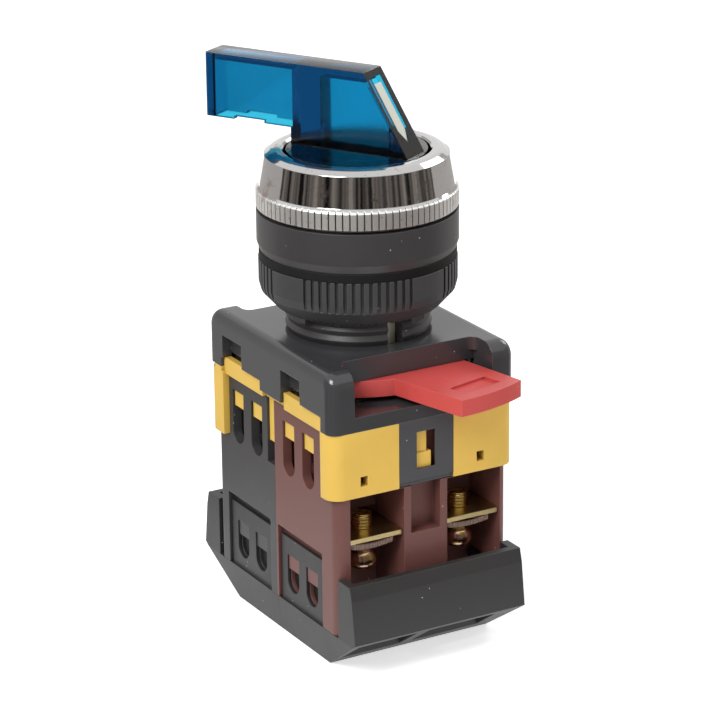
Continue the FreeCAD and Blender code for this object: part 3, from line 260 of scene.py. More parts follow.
class CamSwitchSizes(PropertyGroup):
    edge: length("Edge softness", "Radius that moulded edges are softened by", 0.16)
    lever_edge: length("Lever edge", "Radius of the lever's polished edges", 0.32)
    knurl: length("Knurl height", "Height of the knurled foot of the bezel ring", 3.3)
    # Grain and rolling lines are finer on the real pieces: they are drawn as coarse as it takes to show
    grain: length("Moulding grain", "Spacing of the fine grain on moulded plastic", 0.22)
    smudge: length("Handling marks", "Size of the duller patches that handling leaves", 9.0)
    dust_spacing: length("Dust spacing", "Spacing of the cells that may hold a speck of dust", 1.6)
    dust_size: length("Dust size", "Radius of a speck of dust", 0.09)
    brush: length("Rolling lines", "Spacing of the rolling lines in sheet brass", 0.12)
    thread_pitch: length("Screw thread pitch", "Distance between the threads of a terminal screw", 0.5)
    thread_ridge: length("Screw thread ridge", "Half the width of a thread's rounded ridge", 0.13)
    stub_radius: length("Screw radius", "Radius of a terminal screw's shank", 1.5)
    stub_height: length("Screw stub height", "Height of the threaded stub above its plate", 2.2)
    head_radius: length("Screw head radius", "Radius of a terminal screw's pan head", 2.35)
    washer_side: length("Washer side", "Length of a clamp washer's side", 6.8)
    washer_thickness: length("Washer thickness", "Thickness of a clamp washer", 0.85)
    washer_dish: length("Washer dish", "How far a washer's raised edges stand above its middle", 0.35)
    shade: length("Shade thickness", "Thickness of a dark shade in a catch well", 0.25)
    shade_reach: length("Shade reach", "Distance of a shade from the middle, in the thick wall", 12.75)
    shade_reach_thin: length("Shade reach, thin wall",
                             "Distance of a shade from the middle, behind the thin wall", 13.0)
    shade_foot: length("Shade foot", "Height of a shade's lower edge", -49.6)
    shade_height: length("Shade height", "Height of a shade", 4.1)
    shade_width: length("Shade width", "Width of a shade", 4.0)
    rib_radius: length("Washer rib radius", "Radius of one rib on a clamp washer's edge", 0.15)
    washer_ribs: IntProperty(name="Washer ribs", description="Ribs along one side of a clamp washer",
                             default=15, min=3)


def add_node(tree, kind, values=None, links=None, **settings):
    """Adds a node: settings are its own properties, values its constant inputs, links its fed inputs."""
    made = tree.nodes.new(kind)
    for key, value in settings.items():
        setattr(made, key, value)
    for key, value in (values or {}).items():
        made.inputs[key].default_value = value
    for key, socket in (links or {}).items():
        tree.links.new(socket, made.inputs[key])
    return made


def new_material(name):
    """An empty node material and its tree."""
    material = bpy.data.materials.new(name)
    material.use_nodes = True
    material.node_tree.nodes.clear()
    return material, material.node_tree


def surfaced(tree, shader, depth=None):
    """Feeds a shader, and a depth of colour behind it, to the material's output."""
    links = {"Surface": shader.outputs[0]}
    if depth:
        links["Volume"] = depth.outputs["Volume"]
    add_node(tree, "ShaderNodeOutputMaterial", links=links)


def patterned_material(name):
    """An empty node material, its tree and the place on the object that its patterns follow."""
    material, tree = new_material(name)
    return material, tree, add_node(tree, "ShaderNodeTexCoord").outputs["Object"]


def opaque(rgb):
    return (rgb[0], rgb[1], rgb[2], 1.0)


def shade(rgb, factor):
    return tuple(min(1.0, c * factor) for c in rgb) + (1.0,)


def shades(rgb, factors):
    """The shades of a colour that a pattern runs between."""
    return [shade(rgb, factor) for factor in factors]


def cloudy(tree, place, spacing, detail, roughness=0.5):
    """A soft random pattern, from zero to one."""
    noise = add_node(tree, "ShaderNodeTexNoise",
                     {"Scale": 1.0 / spacing, "Detail": detail, "Roughness": roughness}, {"Vector": place})
    return noise.outputs["Fac"]


def ramp(tree, value, low, high, start=0.0, end=1.0):
    """Goes from low to high while the value goes from start to end."""
    made = add_node(tree, "ShaderNodeMapRange",
                    {"From Min": start, "From Max": end, "To Min": low, "To Max": high}, {"Value": value})
    return made.outputs["Result"]


def mixed(tree, share, first, second):
    """Goes from the first tone to the second as the share grows: each is a colour or a node's output."""
    values, links = {}, {"Factor": share}
    for side, tone in (("A", first), ("B", second)):
        (values if isinstance(tone, tuple) else links)[side] = tone
    return add_node(tree, "ShaderNodeMix", values, links, data_type="RGBA").outputs["Result"]


def worked(tree, operation, first, second):
    """What an operation makes of a node's output and a number, or of two outputs."""
    values, links = {}, {0: first}
    (values if isinstance(second, (int, float)) else links)[1] = second
    return add_node(tree, "ShaderNodeMath", values, links, operation=operation).outputs["Value"]


def edge_mask(tree, radius):
    """White where a face turns into the next within the radius, with the softened normal."""
    soft = add_node(tree, "ShaderNodeBevel", {"Radius": radius}, samples=6)
    plain = add_node(tree, "ShaderNodeNewGeometry")
    dot = add_node(tree, "ShaderNodeVectorMath",
                   links={0: soft.outputs["Normal"], 1: plain.outputs["Normal"]}, operation="DOT_PRODUCT")
    return ramp(tree, dot.outputs["Value"], 0.0, 1.0, start=1.0, end=EDGE_FULL_AT), soft.outputs["Normal"]


def dust_specks(tree, place, spacing, size):
    """One on scattered pale specks of dust, zero elsewhere."""
    cells = add_node(tree, "ShaderNodeTexVoronoi", {"Scale": 1.0 / spacing, "Randomness": 1.0},
                     {"Vector": place})
    near = worked(tree, "LESS_THAN", cells.outputs["Distance"], size / spacing)
    pick = add_node(tree, "ShaderNodeSeparateColor", links={"Color": cells.outputs["Color"]})
    few = worked(tree, "LESS_THAN", pick.outputs["Red"], DUST_SHARE)
    return worked(tree, "MULTIPLY", near, few)


def relief(tree, place, spacing, depth, strength, detail, radius):
    """A fine relief and its normal, on edges that are softened by the radius."""
    marks = cloudy(tree, place, spacing, detail)
    soft = add_node(tree, "ShaderNodeBevel", {"Radius": radius}, samples=4)
    bump = add_node(tree, "ShaderNodeBump", {"Strength": strength, "Distance": depth},
                    {"Height": marks, "Normal": soft.outputs["Normal"]})
    return marks, bump.outputs["Normal"]


def metal_surface(tree, tint, dullness, normal):
    """Ends a metal's tree with its tint, dullness and relief."""
    shader = add_node(tree, "ShaderNodeBsdfPrincipled", {"Metallic": 1.0},
                      {"Base Color": tint, "Roughness": dullness, "Normal": normal})
    surfaced(tree, shader)


def moulded_plastic(name, rgb, sizes, roughness, grain, ior=PLASTIC_IOR, wear_and_sheen=EDGE_WEAR_AND_SHEEN):
    """Moulded plastic, rubber or ceramic: fine mould grain, duller handled patches, edges paler from
    rubbing and a painted highlight, painted shade in creases.
    """
    material, tree, place = patterned_material(name)
    mask, normal = edge_mask(tree, sizes.edge)
    patches = cloudy(tree, place, sizes.smudge, 4.0, 0.6)
    tint = mixed(tree, patches, *shades(rgb, PATCH_SHADES))
    # Paler edges: partly real wear, partly a painted highlight where the edges catch the light.
    rubbed_and_sheen = worked(tree, "MULTIPLY", mask, wear_and_sheen)
    paler = mixed(tree, rubbed_and_sheen, tint, shade([c + WEAR_AND_SHEEN_PALER for c in rgb], WEAR_AND_SHEEN_GAIN))
    # Painted shade: the colour turns darker where ambient occlusion finds creases and recesses.
    crease = add_node(tree, "ShaderNodeAmbientOcclusion", {"Distance": CREASE_REACH}, samples=4)
    shadow = ramp(tree, crease.outputs["AO"], 0.6, 0.0, start=0.2, end=0.75)
    crease_shaded = mixed(tree, shadow, paler, shade(rgb, CREASE_PAINTED_SHADE))
    dust = dust_specks(tree, place, sizes.dust_spacing, sizes.dust_size)
    dusty = mixed(tree, dust, crease_shaded, opaque(linear(DUST_COLOUR)))
    dull = ramp(tree, patches, roughness + PATCH_ROUGHNESS[0], roughness + PATCH_ROUGHNESS[1])
    bump = add_node(tree, "ShaderNodeBump", {"Strength": grain, "Distance": GRAIN_DEPTH},
                    {"Height": cloudy(tree, place, sizes.grain, 2.0), "Normal": normal})
    shader = add_node(tree, "ShaderNodeBsdfPrincipled", {"IOR": ior},
                      {"Base Color": dusty, "Roughness": dull, "Normal": bump.outputs["Normal"]})
    surfaced(tree, shader)
    return material


def clear_plastic(name, rgb, sizes):
    """Tinted polycarbonate: clear, with a depth of blue that grows with the thickness looked through."""
    material, tree, place = patterned_material(name)
    ripple, normal = relief(tree, place, *LEVER_RIPPLE, sizes.edge)
    shader = add_node(tree, "ShaderNodeBsdfPrincipled",
                      {"Base Color": opaque(rgb), "Transmission Weight": 1.0, "IOR": LEVER_IOR},
                      {"Roughness": ramp(tree, ripple, *LEVER_ROUGHNESS), "Normal": normal})
    depth = add_node(tree, "ShaderNodeVolumeAbsorption",
                     {"Color": LEVER_DEPTH_TINT, "Density": LEVER_DEPTH_DENSITY})
    surfaced(tree, shader, depth)
    return material


def polished_steel(name, rgb, sizes, roughness, scratches):
    """Polished or drawn steel: even gloss with faint polishing marks."""
    material, tree, place = patterned_material(name)
    haze = cloudy(tree, place, sizes.smudge, 3.0)
    dull = ramp(tree, haze, roughness * HAZE_ROUGHNESS[0], roughness * HAZE_ROUGHNESS[1])
    tint = mixed(tree, haze, *shades(rgb, HAZE_SHADES))
    normal = relief(tree, place, POLISH_SPACING, POLISH_DEPTH, scratches, POLISH_DETAIL, sizes.edge)[1]
    metal_surface(tree, tint, dull, normal)
    return material


def worn_chrome(name, rgb, stain, sizes):
    """Chrome plate on die-cast zinc: a mirror with pits, brown stains, painted shade in the knurl's grooves
    and a painted sheen on the knurl.
    """
    material, tree, place = patterned_material(name)
    height = add_node(tree, "ShaderNodeSeparateXYZ", links={"Vector": place})
    knurl_top = BEZEL_FOOT + sizes.knurl
    knurled = ramp(tree, height.outputs["Z"], KNURL_DULLNESS, 0.0,
                   start=knurl_top - KNURL_FADE, end=knurl_top)
    # Painted sheen: the knurl's colour is lifted towards white, for the light that its teeth catch.
    knurl_sheen = worked(tree, "MULTIPLY", knurled, 1.0 / KNURL_DULLNESS)
    knurl_sheened = mixed(tree, knurl_sheen, opaque(rgb), opaque(linear(KNURL_SHEEN_COLOUR)))
    patches = cloudy(tree, place, STAIN_SPACING, 5.0, 0.7)
    stained = ramp(tree, patches, 0.0, STAIN_SHARE, start=0.58, end=0.72)
    tarnished = mixed(tree, stained, knurl_sheened, opaque(stain))
    pits = add_node(tree, "ShaderNodeTexVoronoi", {"Scale": 1.0 / PIT_SPACING}, {"Vector": place})
    pitted = worked(tree, "LESS_THAN", pits.outputs["Distance"], PIT_SIZE)
    spotted = mixed(tree, pitted, tarnished, shade(rgb, PIT_SHADE))
    # Painted shade: the knurl's grooves turn darker where ambient occlusion finds them.
    groove = add_node(tree, "ShaderNodeAmbientOcclusion", {"Distance": GROOVE_REACH}, samples=6)
    groove_shade = ramp(tree, groove.outputs["AO"], 0.92, 0.0, start=0.35, end=0.62)
    groove_shaded = mixed(tree, groove_shade, spotted, shade(stain, GROOVE_PAINTED_SHADE))
    dull = ramp(tree, stained, *CHROME_ROUGHNESS, end=STAIN_SHARE)
    normal = relief(tree, place, *CHROME_RIPPLE, sizes.edge)[1]
    metal_surface(tree, groove_shaded, worked(tree, "MAXIMUM", dull, knurled), normal)
    return material


def chromated_steel(name, gold, pink):
    """Yellow-chromated zinc on steel: a film that shimmers from gold on the stubs to pink on the heads."""
    material, tree, place = patterned_material(name)
    height = add_node(tree, "ShaderNodeSeparateXYZ", links={"Vector": place})
    lower = ramp(tree, height.outputs["Z"], 1.0, 0.0,
                 start=WASHER_FOOT + FILM_PINK_BELOW, end=WASHER_FOOT + FILM_GOLD_ABOVE)
    film = cloudy(tree, place, FILM_SPACING, 3.0)
    shimmer = ramp(tree, film, 0.0, 1.0, start=0.35, end=0.65)
    tint = mixed(tree, worked(tree, "MULTIPLY", lower, shimmer), opaque(gold), opaque(pink))
    bump = add_node(tree, "ShaderNodeBump", {"Strength": FILM_STRENGTH, "Distance": FILM_DEPTH},
                    {"Height": film})
    metal_surface(tree, tint, ramp(tree, film, *FILM_ROUGHNESS), bump.outputs["Normal"])
    return material


def rolled_sheet(name, rgb, sizes, roughness):
    """Rolled and stamped sheet metal: fine rolling lines along one way and stained patches."""
    material, tree, place = patterned_material(name)
    stretched = add_node(tree, "ShaderNodeMapping", {"Scale": ROLLING_STRETCH}, {"Vector": place})
    stain = cloudy(tree, place, PATINA_SPACING, 4.0)
    tint = mixed(tree, stain, *shades(rgb, PATINA_SHADES))
    dull = ramp(tree, stain, roughness + PATINA_ROUGHNESS[0], roughness + PATINA_ROUGHNESS[1])
    normal = relief(tree, stretched.outputs["Vector"], sizes.brush, *ROLLING_LINES,
                    sizes.edge * SHEET_EDGE)[1]
    metal_surface(tree, tint, dull, normal)
    return material


def lamp_glass(name, rgb):
    """Soda-lime bulb glass, thin and clear."""
    material, tree, place = patterned_material(name)
    seed = cloudy(tree, place, GLASS_SEED, 2.0)
    shader = add_node(tree, "ShaderNodeBsdfPrincipled",
                      {"Base Color": opaque(rgb), "Transmission Weight": 0.9, "IOR": GLASS_IOR},
                      {"Roughness": ramp(tree, seed, *GLASS_ROUGHNESS)})
    surfaced(tree, shader)
    return material


def paint(material, *names):
    """Gives a material to CAD nodes."""
    for name in names:
        mesh_object = frame["nodes"][name]
        slots = mesh_object.material_slots
        if not slots:
            raise RuntimeError("node without a material slot: " + name)
        for material_slot in slots:
            material_slot.link = "OBJECT"
            material_slot.material = material


def body_name(node):
    """The CAD body that a node belongs to."""
    for body, nodes in frame["record"]["behaviour"]["bodies"].items():
        if node in nodes:
            return body
    raise RuntimeError("no body holds " + node)


def added(name, mesh, node):
    """Puts a finished mesh beside a CAD node, in the node's body."""
    made = held(name, mesh)
    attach(made, body_name(node))
    return made


def piece(name, mesh, material, node):
    """Puts a finished mesh in the scene in place of a CAD node."""
    mesh.materials.clear()
    mesh.materials.append(material)
    made = added(name, mesh, node)
    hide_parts(node)
    return made


def settings():
    scene = bpy.context.scene
    return scene.cam_switch_colours, scene.cam_switch_sizes


def held(name, data):
    """A new object in the scene, at the origin."""
    holder = bpy.data.objects.new(name, data)
    bpy.context.scene.collection.objects.link(holder)
    return holder


def mesh_of(work, name):
    """Turns finished mesh work into a mesh."""
    mesh = bpy.data.meshes.new(name)
    work.to_mesh(mesh)
    work.free()
    return mesh


def merged_copy(node):
    """Mesh work on a copy of a CAD node, with its loose triangles joined."""
    work = bmesh.new()
    work.from_mesh(frame["nodes"][node].data)
    bmesh.ops.remove_doubles(work, verts=work.verts, dist=MERGE_DISTANCE)
    return work


def finished_mesh(holder):
    """The plain mesh that the holder's modifiers make; the holder is deleted."""
    graph = bpy.context.evaluated_depsgraph_get()
    graph.update()
    mesh = bpy.data.meshes.new_from_object(holder.evaluated_get(graph), depsgraph=graph)
    mesh.name = holder.name
    spare = holder.data
    bpy.data.objects.remove(holder)
    bpy.data.meshes.remove(spare)
    return mesh


def softened_mesh(node, width):
    """A copy of a CAD node with its edges really rounded by this width."""
    work = merged_copy(node)
    bmesh.ops.dissolve_limit(work, angle_limit=FLAT_ANGLE, verts=work.verts, edges=work.edges)
    holder = held(node + "_rounded", mesh_of(work, node + "_rounded"))
    rounded = holder.modifiers.new("Rounded edges", "BEVEL")
    rounded.width = width
    rounded.segments = EDGE_SEGMENTS
    rounded.limit_method = "ANGLE"
    rounded.angle_limit = EDGE_ANGLE
    rounded.use_clamp_overlap = True
    return finished_mesh(holder)


def group_tree(name, lengths, counts=()):
    """A geometry node tree with a geometry, the named lengths and counts and a material for inputs."""
    tree = bpy.data.node_groups.new(name, "GeometryNodeTree")
    kinds = [("Geometry", "Geometry")] + [(label, "Float") for label in lengths]
    kinds += [(label, "Int") for label in counts] + [("Material", "Material")]
    for label, kind in kinds:
        tree.interface.new_socket(label, in_out="INPUT", socket_type="NodeSocket" + kind)
    tree.interface.new_socket("Geometry", in_out="OUTPUT", socket_type="NodeSocketGeometry")
    return tree, tree.nodes.new("NodeGroupInput").outputs


def close_tree(tree, given, shape):
    """Realizes the instances, sets the material and feeds the output."""
    real = add_node(tree, "GeometryNodeRealizeInstances", links={"Geometry": shape})
    coated = add_node(tree, "GeometryNodeSetMaterial",
                      links={"Geometry": real.outputs["Geometry"], "Material": given["Material"]})
    add_node(tree, "NodeGroupOutput", links={"Geometry": coated.outputs["Geometry"]})


def grown_mesh(name, tree, spots, values):
    """The mesh that a geometry node tree grows on the given spots."""
    mesh = bpy.data.meshes.new(name)
    mesh.from_pydata(spots, [], [])
    holder = held(name, mesh)
    modifier = holder.modifiers.new("Grown", "NODES")
    modifier.node_group = tree
    for item in tree.interface.items_tree:
        if item.in_out == "INPUT" and item.name in values:
            modifier[item.identifier] = values[item.name]
    grown = finished_mesh(holder)
    if not grown.polygons:
        raise RuntimeError("nothing grew for " + name)
    return grown


def thread_tree():
    """A rounded helical ridge at each spot."""
    tree, given = group_tree("screw_thread", ("Radius", "Height", "Turns", "Ridge"))
    spiral = add_node(tree, "GeometryNodeCurveSpiral", {"Resolution": THREAD_STEPS},
                      {"Rotations": given["Turns"], "Start Radius": given["Radius"],
                       "End Radius": given["Radius"], "Height": given["Height"]})
    section = add_node(tree, "GeometryNodeCurvePrimitiveCircle", {"Resolution": THREAD_SIDES},
                       {"Radius": given["Ridge"]})
    ridge = add_node(tree, "GeometryNodeCurveToMesh", {"Fill Caps": True},
                     {"Curve": spiral.outputs["Curve"], "Profile Curve": section.outputs["Curve"]})
    placed = add_node(tree, "GeometryNodeInstanceOnPoints",
                      links={"Points": given["Geometry"], "Instance": ridge.outputs["Mesh"]})
    close_tree(tree, given, placed.outputs["Instances"])
    return tree


def rib_row(tree, given, half):
    """Upright ribs in a row along one edge of a square plate."""
    edge = add_node(tree, "ShaderNodeMath", {1: -1.0}, {0: half}, operation="MULTIPLY")
    ends = []
    for share in (-RIB_ROW, RIB_ROW):
        along = add_node(tree, "ShaderNodeMath", {1: share}, {0: given["Side"]}, operation="MULTIPLY")
        end = add_node(tree, "ShaderNodeCombineXYZ",
                       links={"X": along.outputs["Value"], "Y": edge.outputs["Value"]})
        ends.append(end.outputs["Vector"])
    row = add_node(tree, "GeometryNodeMeshLine",
                   links={"Count": given["Ribs"], "Start Location": ends[0], "Offset": ends[1]},
                   mode="END_POINTS")
    rib = add_node(tree, "GeometryNodeMeshCylinder", {"Vertices": RIB_SIDES},
                   {"Radius": given["Rib radius"], "Depth": given["Thickness"]})
    side = add_node(tree, "GeometryNodeInstanceOnPoints",
                    links={"Points": row.outputs["Mesh"], "Instance": rib.outputs["Mesh"]})
    return side.outputs["Instances"]


def four_sides(tree, side):
    """One side repeated on all four edges, as plain geometry."""
    four = add_node(tree, "GeometryNodePoints", {"Count": 4})
    count = add_node(tree, "GeometryNodeInputIndex")
    quarter = add_node(tree, "ShaderNodeMath", {1: math.pi / 2}, {0: count.outputs["Index"]},
                       operation="MULTIPLY")
    about = add_node(tree, "ShaderNodeCombineXYZ", links={"Z": quarter.outputs["Value"]})
    ring = add_node(tree, "GeometryNodeInstanceOnPoints",
                    links={"Points": four.outputs["Points"], "Instance": side,
                           "Rotation": about.outputs["Vector"]})
    flat = add_node(tree, "GeometryNodeRealizeInstances", links={"Geometry": ring.outputs["Instances"]})
    return flat.outputs["Geometry"]


def rib_tree():
    """Fine upright ribs along the four edges of a dished square plate at each spot."""
    tree, given = group_tree("washer_ribs", ("Side", "Thickness", "Dish", "Rib radius"), ("Ribs",))
    half = add_node(tree, "ShaderNodeMath", {1: 0.5}, {0: given["Side"]}, operation="MULTIPLY")
    flat = four_sides(tree, rib_row(tree, given, half.outputs["Value"]))
    spot = add_node(tree, "GeometryNodeInputPosition")
    across = add_node(tree, "ShaderNodeSeparateXYZ", links={"Vector": spot.outputs["Position"]})
    share = add_node(tree, "ShaderNodeMath", links={0: across.outputs["X"], 1: half.outputs["Value"]},
                     operation="DIVIDE")
    square = add_node(tree, "ShaderNodeMath", links={0: share.outputs["Value"], 1: share.outputs["Value"]},
                      operation="MULTIPLY")
    level = add_node(tree, "ShaderNodeMath", {1: DISH_LEVEL}, {0: square.outputs["Value"]},
                     operation="SUBTRACT")
    rise = add_node(tree, "ShaderNodeMath", links={0: level.outputs["Value"], 1: given["Dish"]},
                    operation="MULTIPLY")
    lift = add_node(tree, "ShaderNodeCombineXYZ", links={"Z": rise.outputs["Value"]})
    bent = add_node(tree, "GeometryNodeSetPosition",
                    links={"Geometry": flat, "Offset": lift.outputs["Vector"]})
    placed = add_node(tree, "GeometryNodeInstanceOnPoints",
                      links={"Points": given["Geometry"], "Instance": bent.outputs["Geometry"]})
    close_tree(tree, given, placed.outputs["Instances"])
    return tree


def solid_spots(node):
    """The middle of each separate solid of a node, seen from above."""
    work = merged_copy(node)
    left = set(work.verts)
    spots = []
    while left:
        island = []
        reach = [left.pop()]
        while reach:
            vertex = reach.pop()
            island.append(vertex.co.copy())
            for link in vertex.link_edges:
                other = link.other_vert(vertex)
                if other in left:
                    left.remove(other)
                    reach.append(other)
        middle = [(min(co[i] for co in island) + max(co[i] for co in island)) / 2 for i in (0, 1)]
        spots.append(tuple(middle))
    work.free()
    return sorted(spots)


def turned_screws(spots, sizes):
    """Pan-head screws, heads down, turned from one profile."""
    tip = PLATE_TOP + sizes.stub_height
    profile = [(share * sizes.head_radius, SCREW_FOOT + rise * MM) for share, rise in SCREW_HEAD]
    profile.append((sizes.stub_radius, SCREW_FOOT + SCREW_SHOULDER * MM))
    profile += [(share * sizes.stub_radius, tip - drop * MM) for share, drop in SCREW_TIP]
    angles = [2 * math.pi * k / SCREW_STEPS for k in range(SCREW_STEPS)]
    work = bmesh.new()
    for x, y in spots:
        rings = []
        for radius, z in profile:
            if radius == 0.0:
                rings.append([work.verts.new((x, y, z))] * SCREW_STEPS)
                continue
            rings.append([work.verts.new((x + radius * math.cos(angle), y + radius * math.sin(angle), z))
                          for angle in angles])
        for lower, upper in zip(rings, rings[1:]):
            for k in range(SCREW_STEPS):
                after = (k + 1) % SCREW_STEPS
                corners = dict.fromkeys((lower[k], lower[after], upper[after], upper[k]))
                work.faces.new(list(corners)).smooth = True
    bmesh.ops.recalc_face_normals(work, faces=work.faces)
    return mesh_of(work, "clamping_screws")


def dished_washers(spots, sizes):
    """Square washers bent so that two opposite edges stand up, with a round hole."""
    half = sizes.washer_side / 2
    thick = sizes.washer_thickness / 2
    hole = sizes.stub_radius + WASHER_HOLE_GAP
    work = bmesh.new()
    for x, y in spots:
        loops = []
        for z, inner in ((-thick, False), (thick, False), (thick, True), (-thick, True)):
            loop = []
            for k in range(WASHER_STEPS):
                angle = 2 * math.pi * k / WASHER_STEPS
                c, d = math.cos(angle), math.sin(angle)
                reach = hole if inner else half / max(abs(c), abs(d))
                rise = sizes.washer_dish * ((reach * c / half) ** 2 - DISH_LEVEL)
                loop.append(work.verts.new((x + reach * c, y + reach * d, WASHER_MIDDLE + z + rise)))
            loops.append(loop)
        for here, there in zip(loops, loops[1:] + loops[:1]):
            for k in range(WASHER_STEPS):
                after = (k + 1) % WASHER_STEPS
                work.faces.new([here[k], here[after], there[after], there[k]])
    bmesh.ops.recalc_face_normals(work, faces=work.faces)
    return mesh_of(work, "dished_washers")


def pressed_spring(node, material):
    """A return spring, as a copy with its own mesh in place of the CAD node."""
    made = piece(node + "_coil", mesh_of(merged_copy(node), node + "_coil"), material, node)
    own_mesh(made)


def shade_places(sizes):
    """Middle of each catch well of the front block, across the block and along it."""
    thick = [(-sizes.shade_reach, y) for y in WELLS_THICK]
    thin = [(sizes.shade_reach_thin, y) for y in WELLS_THIN]
    return thick + thin


def well_shades(name, side, sizes):
    """Dark plates in one block's catch wells (side 1 front, -1 rear), so that no light passes through;
    their black is painted shade for the depth of the wells.
    """
    half = sizes.shade / 2
    wide = sizes.shade_width / 2
    low = sizes.shade_foot
    work = bmesh.new()
    for x, y in shade_places(sizes):
        corners = []
        for across in (x - half, x + half):
            for along in (y - wide, y + wide):
                for z in (low, low + sizes.shade_height):
                    corners.append(work.verts.new((side * across, side * along, z)))
        for loop in ((0, 1, 3, 2), (4, 6, 7, 5), (0, 4, 5, 1), (2, 3, 7, 6), (0, 2, 6, 4), (1, 5, 7, 3)):
            work.faces.new([corners[i] for i in loop])
    bmesh.ops.recalc_face_normals(work, faces=work.faces)
    bmesh.ops.bevel(work, geom=list(work.edges), offset=SHADE_EDGE, segments=2, profile=0.5, affect="EDGES")
    return mesh_of(work, name)


class CAMSWITCH_OT_lever(Operator):
    """Finishes the blue lever and its cream pointer"""
    bl_idname = "cam_switch.lever"
    bl_label = "Lever"

    def execute(self, context):
        colours, sizes = settings()
        piece("lever_moulding", softened_mesh("lever", sizes.lever_edge),
              clear_plastic("tinted_polycarbonate_blue", colours.lever, sizes), "lever")
        paint(moulded_plastic("moulded_abs_pointer_cream", colours.pointer, sizes,
                              roughness=0.35, grain=0.15), "pointer_insert")
        return {"FINISHED"}


class CAMSWITCH_OT_head(Operator):
    """Finishes the bezel ring, the head's body, the gasket and the panel nut"""
    bl_idname = "cam_switch.head"
    bl_label = "Head"

    def execute(self, context):
        colours, sizes = settings()
        paint(worn_chrome("chrome_plated_zinc", colours.chrome, colours.stain, sizes), "bezel_ring")
        paint(moulded_plastic("moulded_polyamide_collar_black", colours.collar, sizes,
                              roughness=0.38, grain=0.2), "head_body")
        paint(moulded_plastic("moulded_nitrile_gasket", colours.gasket, sizes,
                              roughness=0.7, grain=0.4, ior=RUBBER_IOR, wear_and_sheen=0.1), "panel_gasket")
        paint(moulded_plastic("moulded_polyamide_nut_black", colours.nut, sizes,
                              roughness=0.45, grain=0.35), "panel_nut")
        return {"FINISHED"}


class CAMSWITCH_OT_core(Operator):
    """Finishes what is inside the head: cam sleeve, click stop, lamp and its socket"""
    bl_idname = "cam_switch.core"
    bl_label = "Core"

    def execute(self, context):
        colours, sizes = settings()
        paint(moulded_plastic("moulded_acetal_sleeve_cream", colours.sleeve, sizes,
                              roughness=0.4, grain=0.15), "cam_rotor")
        paint(moulded_plastic("moulded_steatite_socket", colours.pointer, sizes,
                              roughness=0.5, grain=0.3), "lamp_holder")
        paint(lamp_glass("soda_lime_bulb_glass", colours.glass), "lamp")
        paint(polished_steel("ground_bearing_steel", colours.steel, sizes,
                             roughness=0.12, scratches=0.05), "detent_ball")
        wire = polished_steel("drawn_spring_wire", colours.steel, sizes, roughness=0.25, scratches=0.2)
        paint(wire, "detent_spring", "contact_spring_front", "contact_spring_rear")
        pressed_spring("return_spring_front", wire)
        pressed_spring("return_spring_rear", wire)
        return {"FINISHED"}


class CAMSWITCH_OT_adapter(Operator):
    """Finishes the adapter frame, the red lock lever and the clip plates"""
    bl_idname = "cam_switch.adapter"
    bl_label = "Adapter"

    def execute(self, context):
        colours, sizes = settings()
        paint(moulded_plastic("moulded_polyamide_adapter_black", colours.adapter, sizes,
                              roughness=0.16, grain=0.1), "adapter_frame")
        paint(moulded_plastic("moulded_abs_lock_red", colours.lock, sizes,
                              roughness=0.36, grain=0.12), "lock_lever")
        paint(moulded_plastic("moulded_polyamide_clip_grey", colours.clip, sizes,
                              roughness=0.5, grain=0.35), "clip_plate_front", "clip_plate_rear")
        return {"FINISHED"}


class CAMSWITCH_OT_carrier(Operator):
    """Finishes the yellow carrier and the yellow push pieces"""
    bl_idname = "cam_switch.carrier"
    bl_label = "Carrier"

    def execute(self, context):
        colours, sizes = settings()
        yellow = moulded_plastic("moulded_polyamide_yellow", colours.carrier, sizes,
                                 roughness=0.38, grain=0.15, wear_and_sheen=0.2)
        paint(yellow, "contact_carrier", "plunger_front", "plunger_rear")
        return {"FINISHED"}


class CAMSWITCH_OT_blocks(Operator):
    """Finishes the two contact blocks with their brass contacts"""
    bl_idname = "cam_switch.blocks"
    bl_label = "Contact blocks"

    def execute(self, context):
        colours, sizes = settings()
        paint(moulded_plastic("moulded_melamine_brown", colours.front_block, sizes,
                              roughness=0.48, grain=0.3), "housing_front")
        paint(moulded_plastic("moulded_melamine_grey", colours.rear_block, sizes,
                              roughness=0.48, grain=0.3), "housing_rear")
        # Painted shade: black plates deep in the catch wells, which also close the gaps that light would
        # pass through.
        black = moulded_plastic("painted_shade_black_plates", colours.gasket, sizes,
                                roughness=0.6, grain=0.2)
        for name, side, node in (("well_shades_front", 1, "housing_front"),
                                 ("well_shades_rear", -1, "housing_rear")):
            shades = well_shades(name, side, sizes)
            shades.materials.append(black)
            added(name, shades, node)
        paint(rolled_sheet("rolled_brass_sheet", colours.brass, sizes, roughness=0.28),
              "contact_bridge_front", "contact_bridge_rear", "fixed_contact_front_left",
              "fixed_contact_front_right", "fixed_contact_rear_left", "fixed_contact_rear_right")
        return {"FINISHED"}


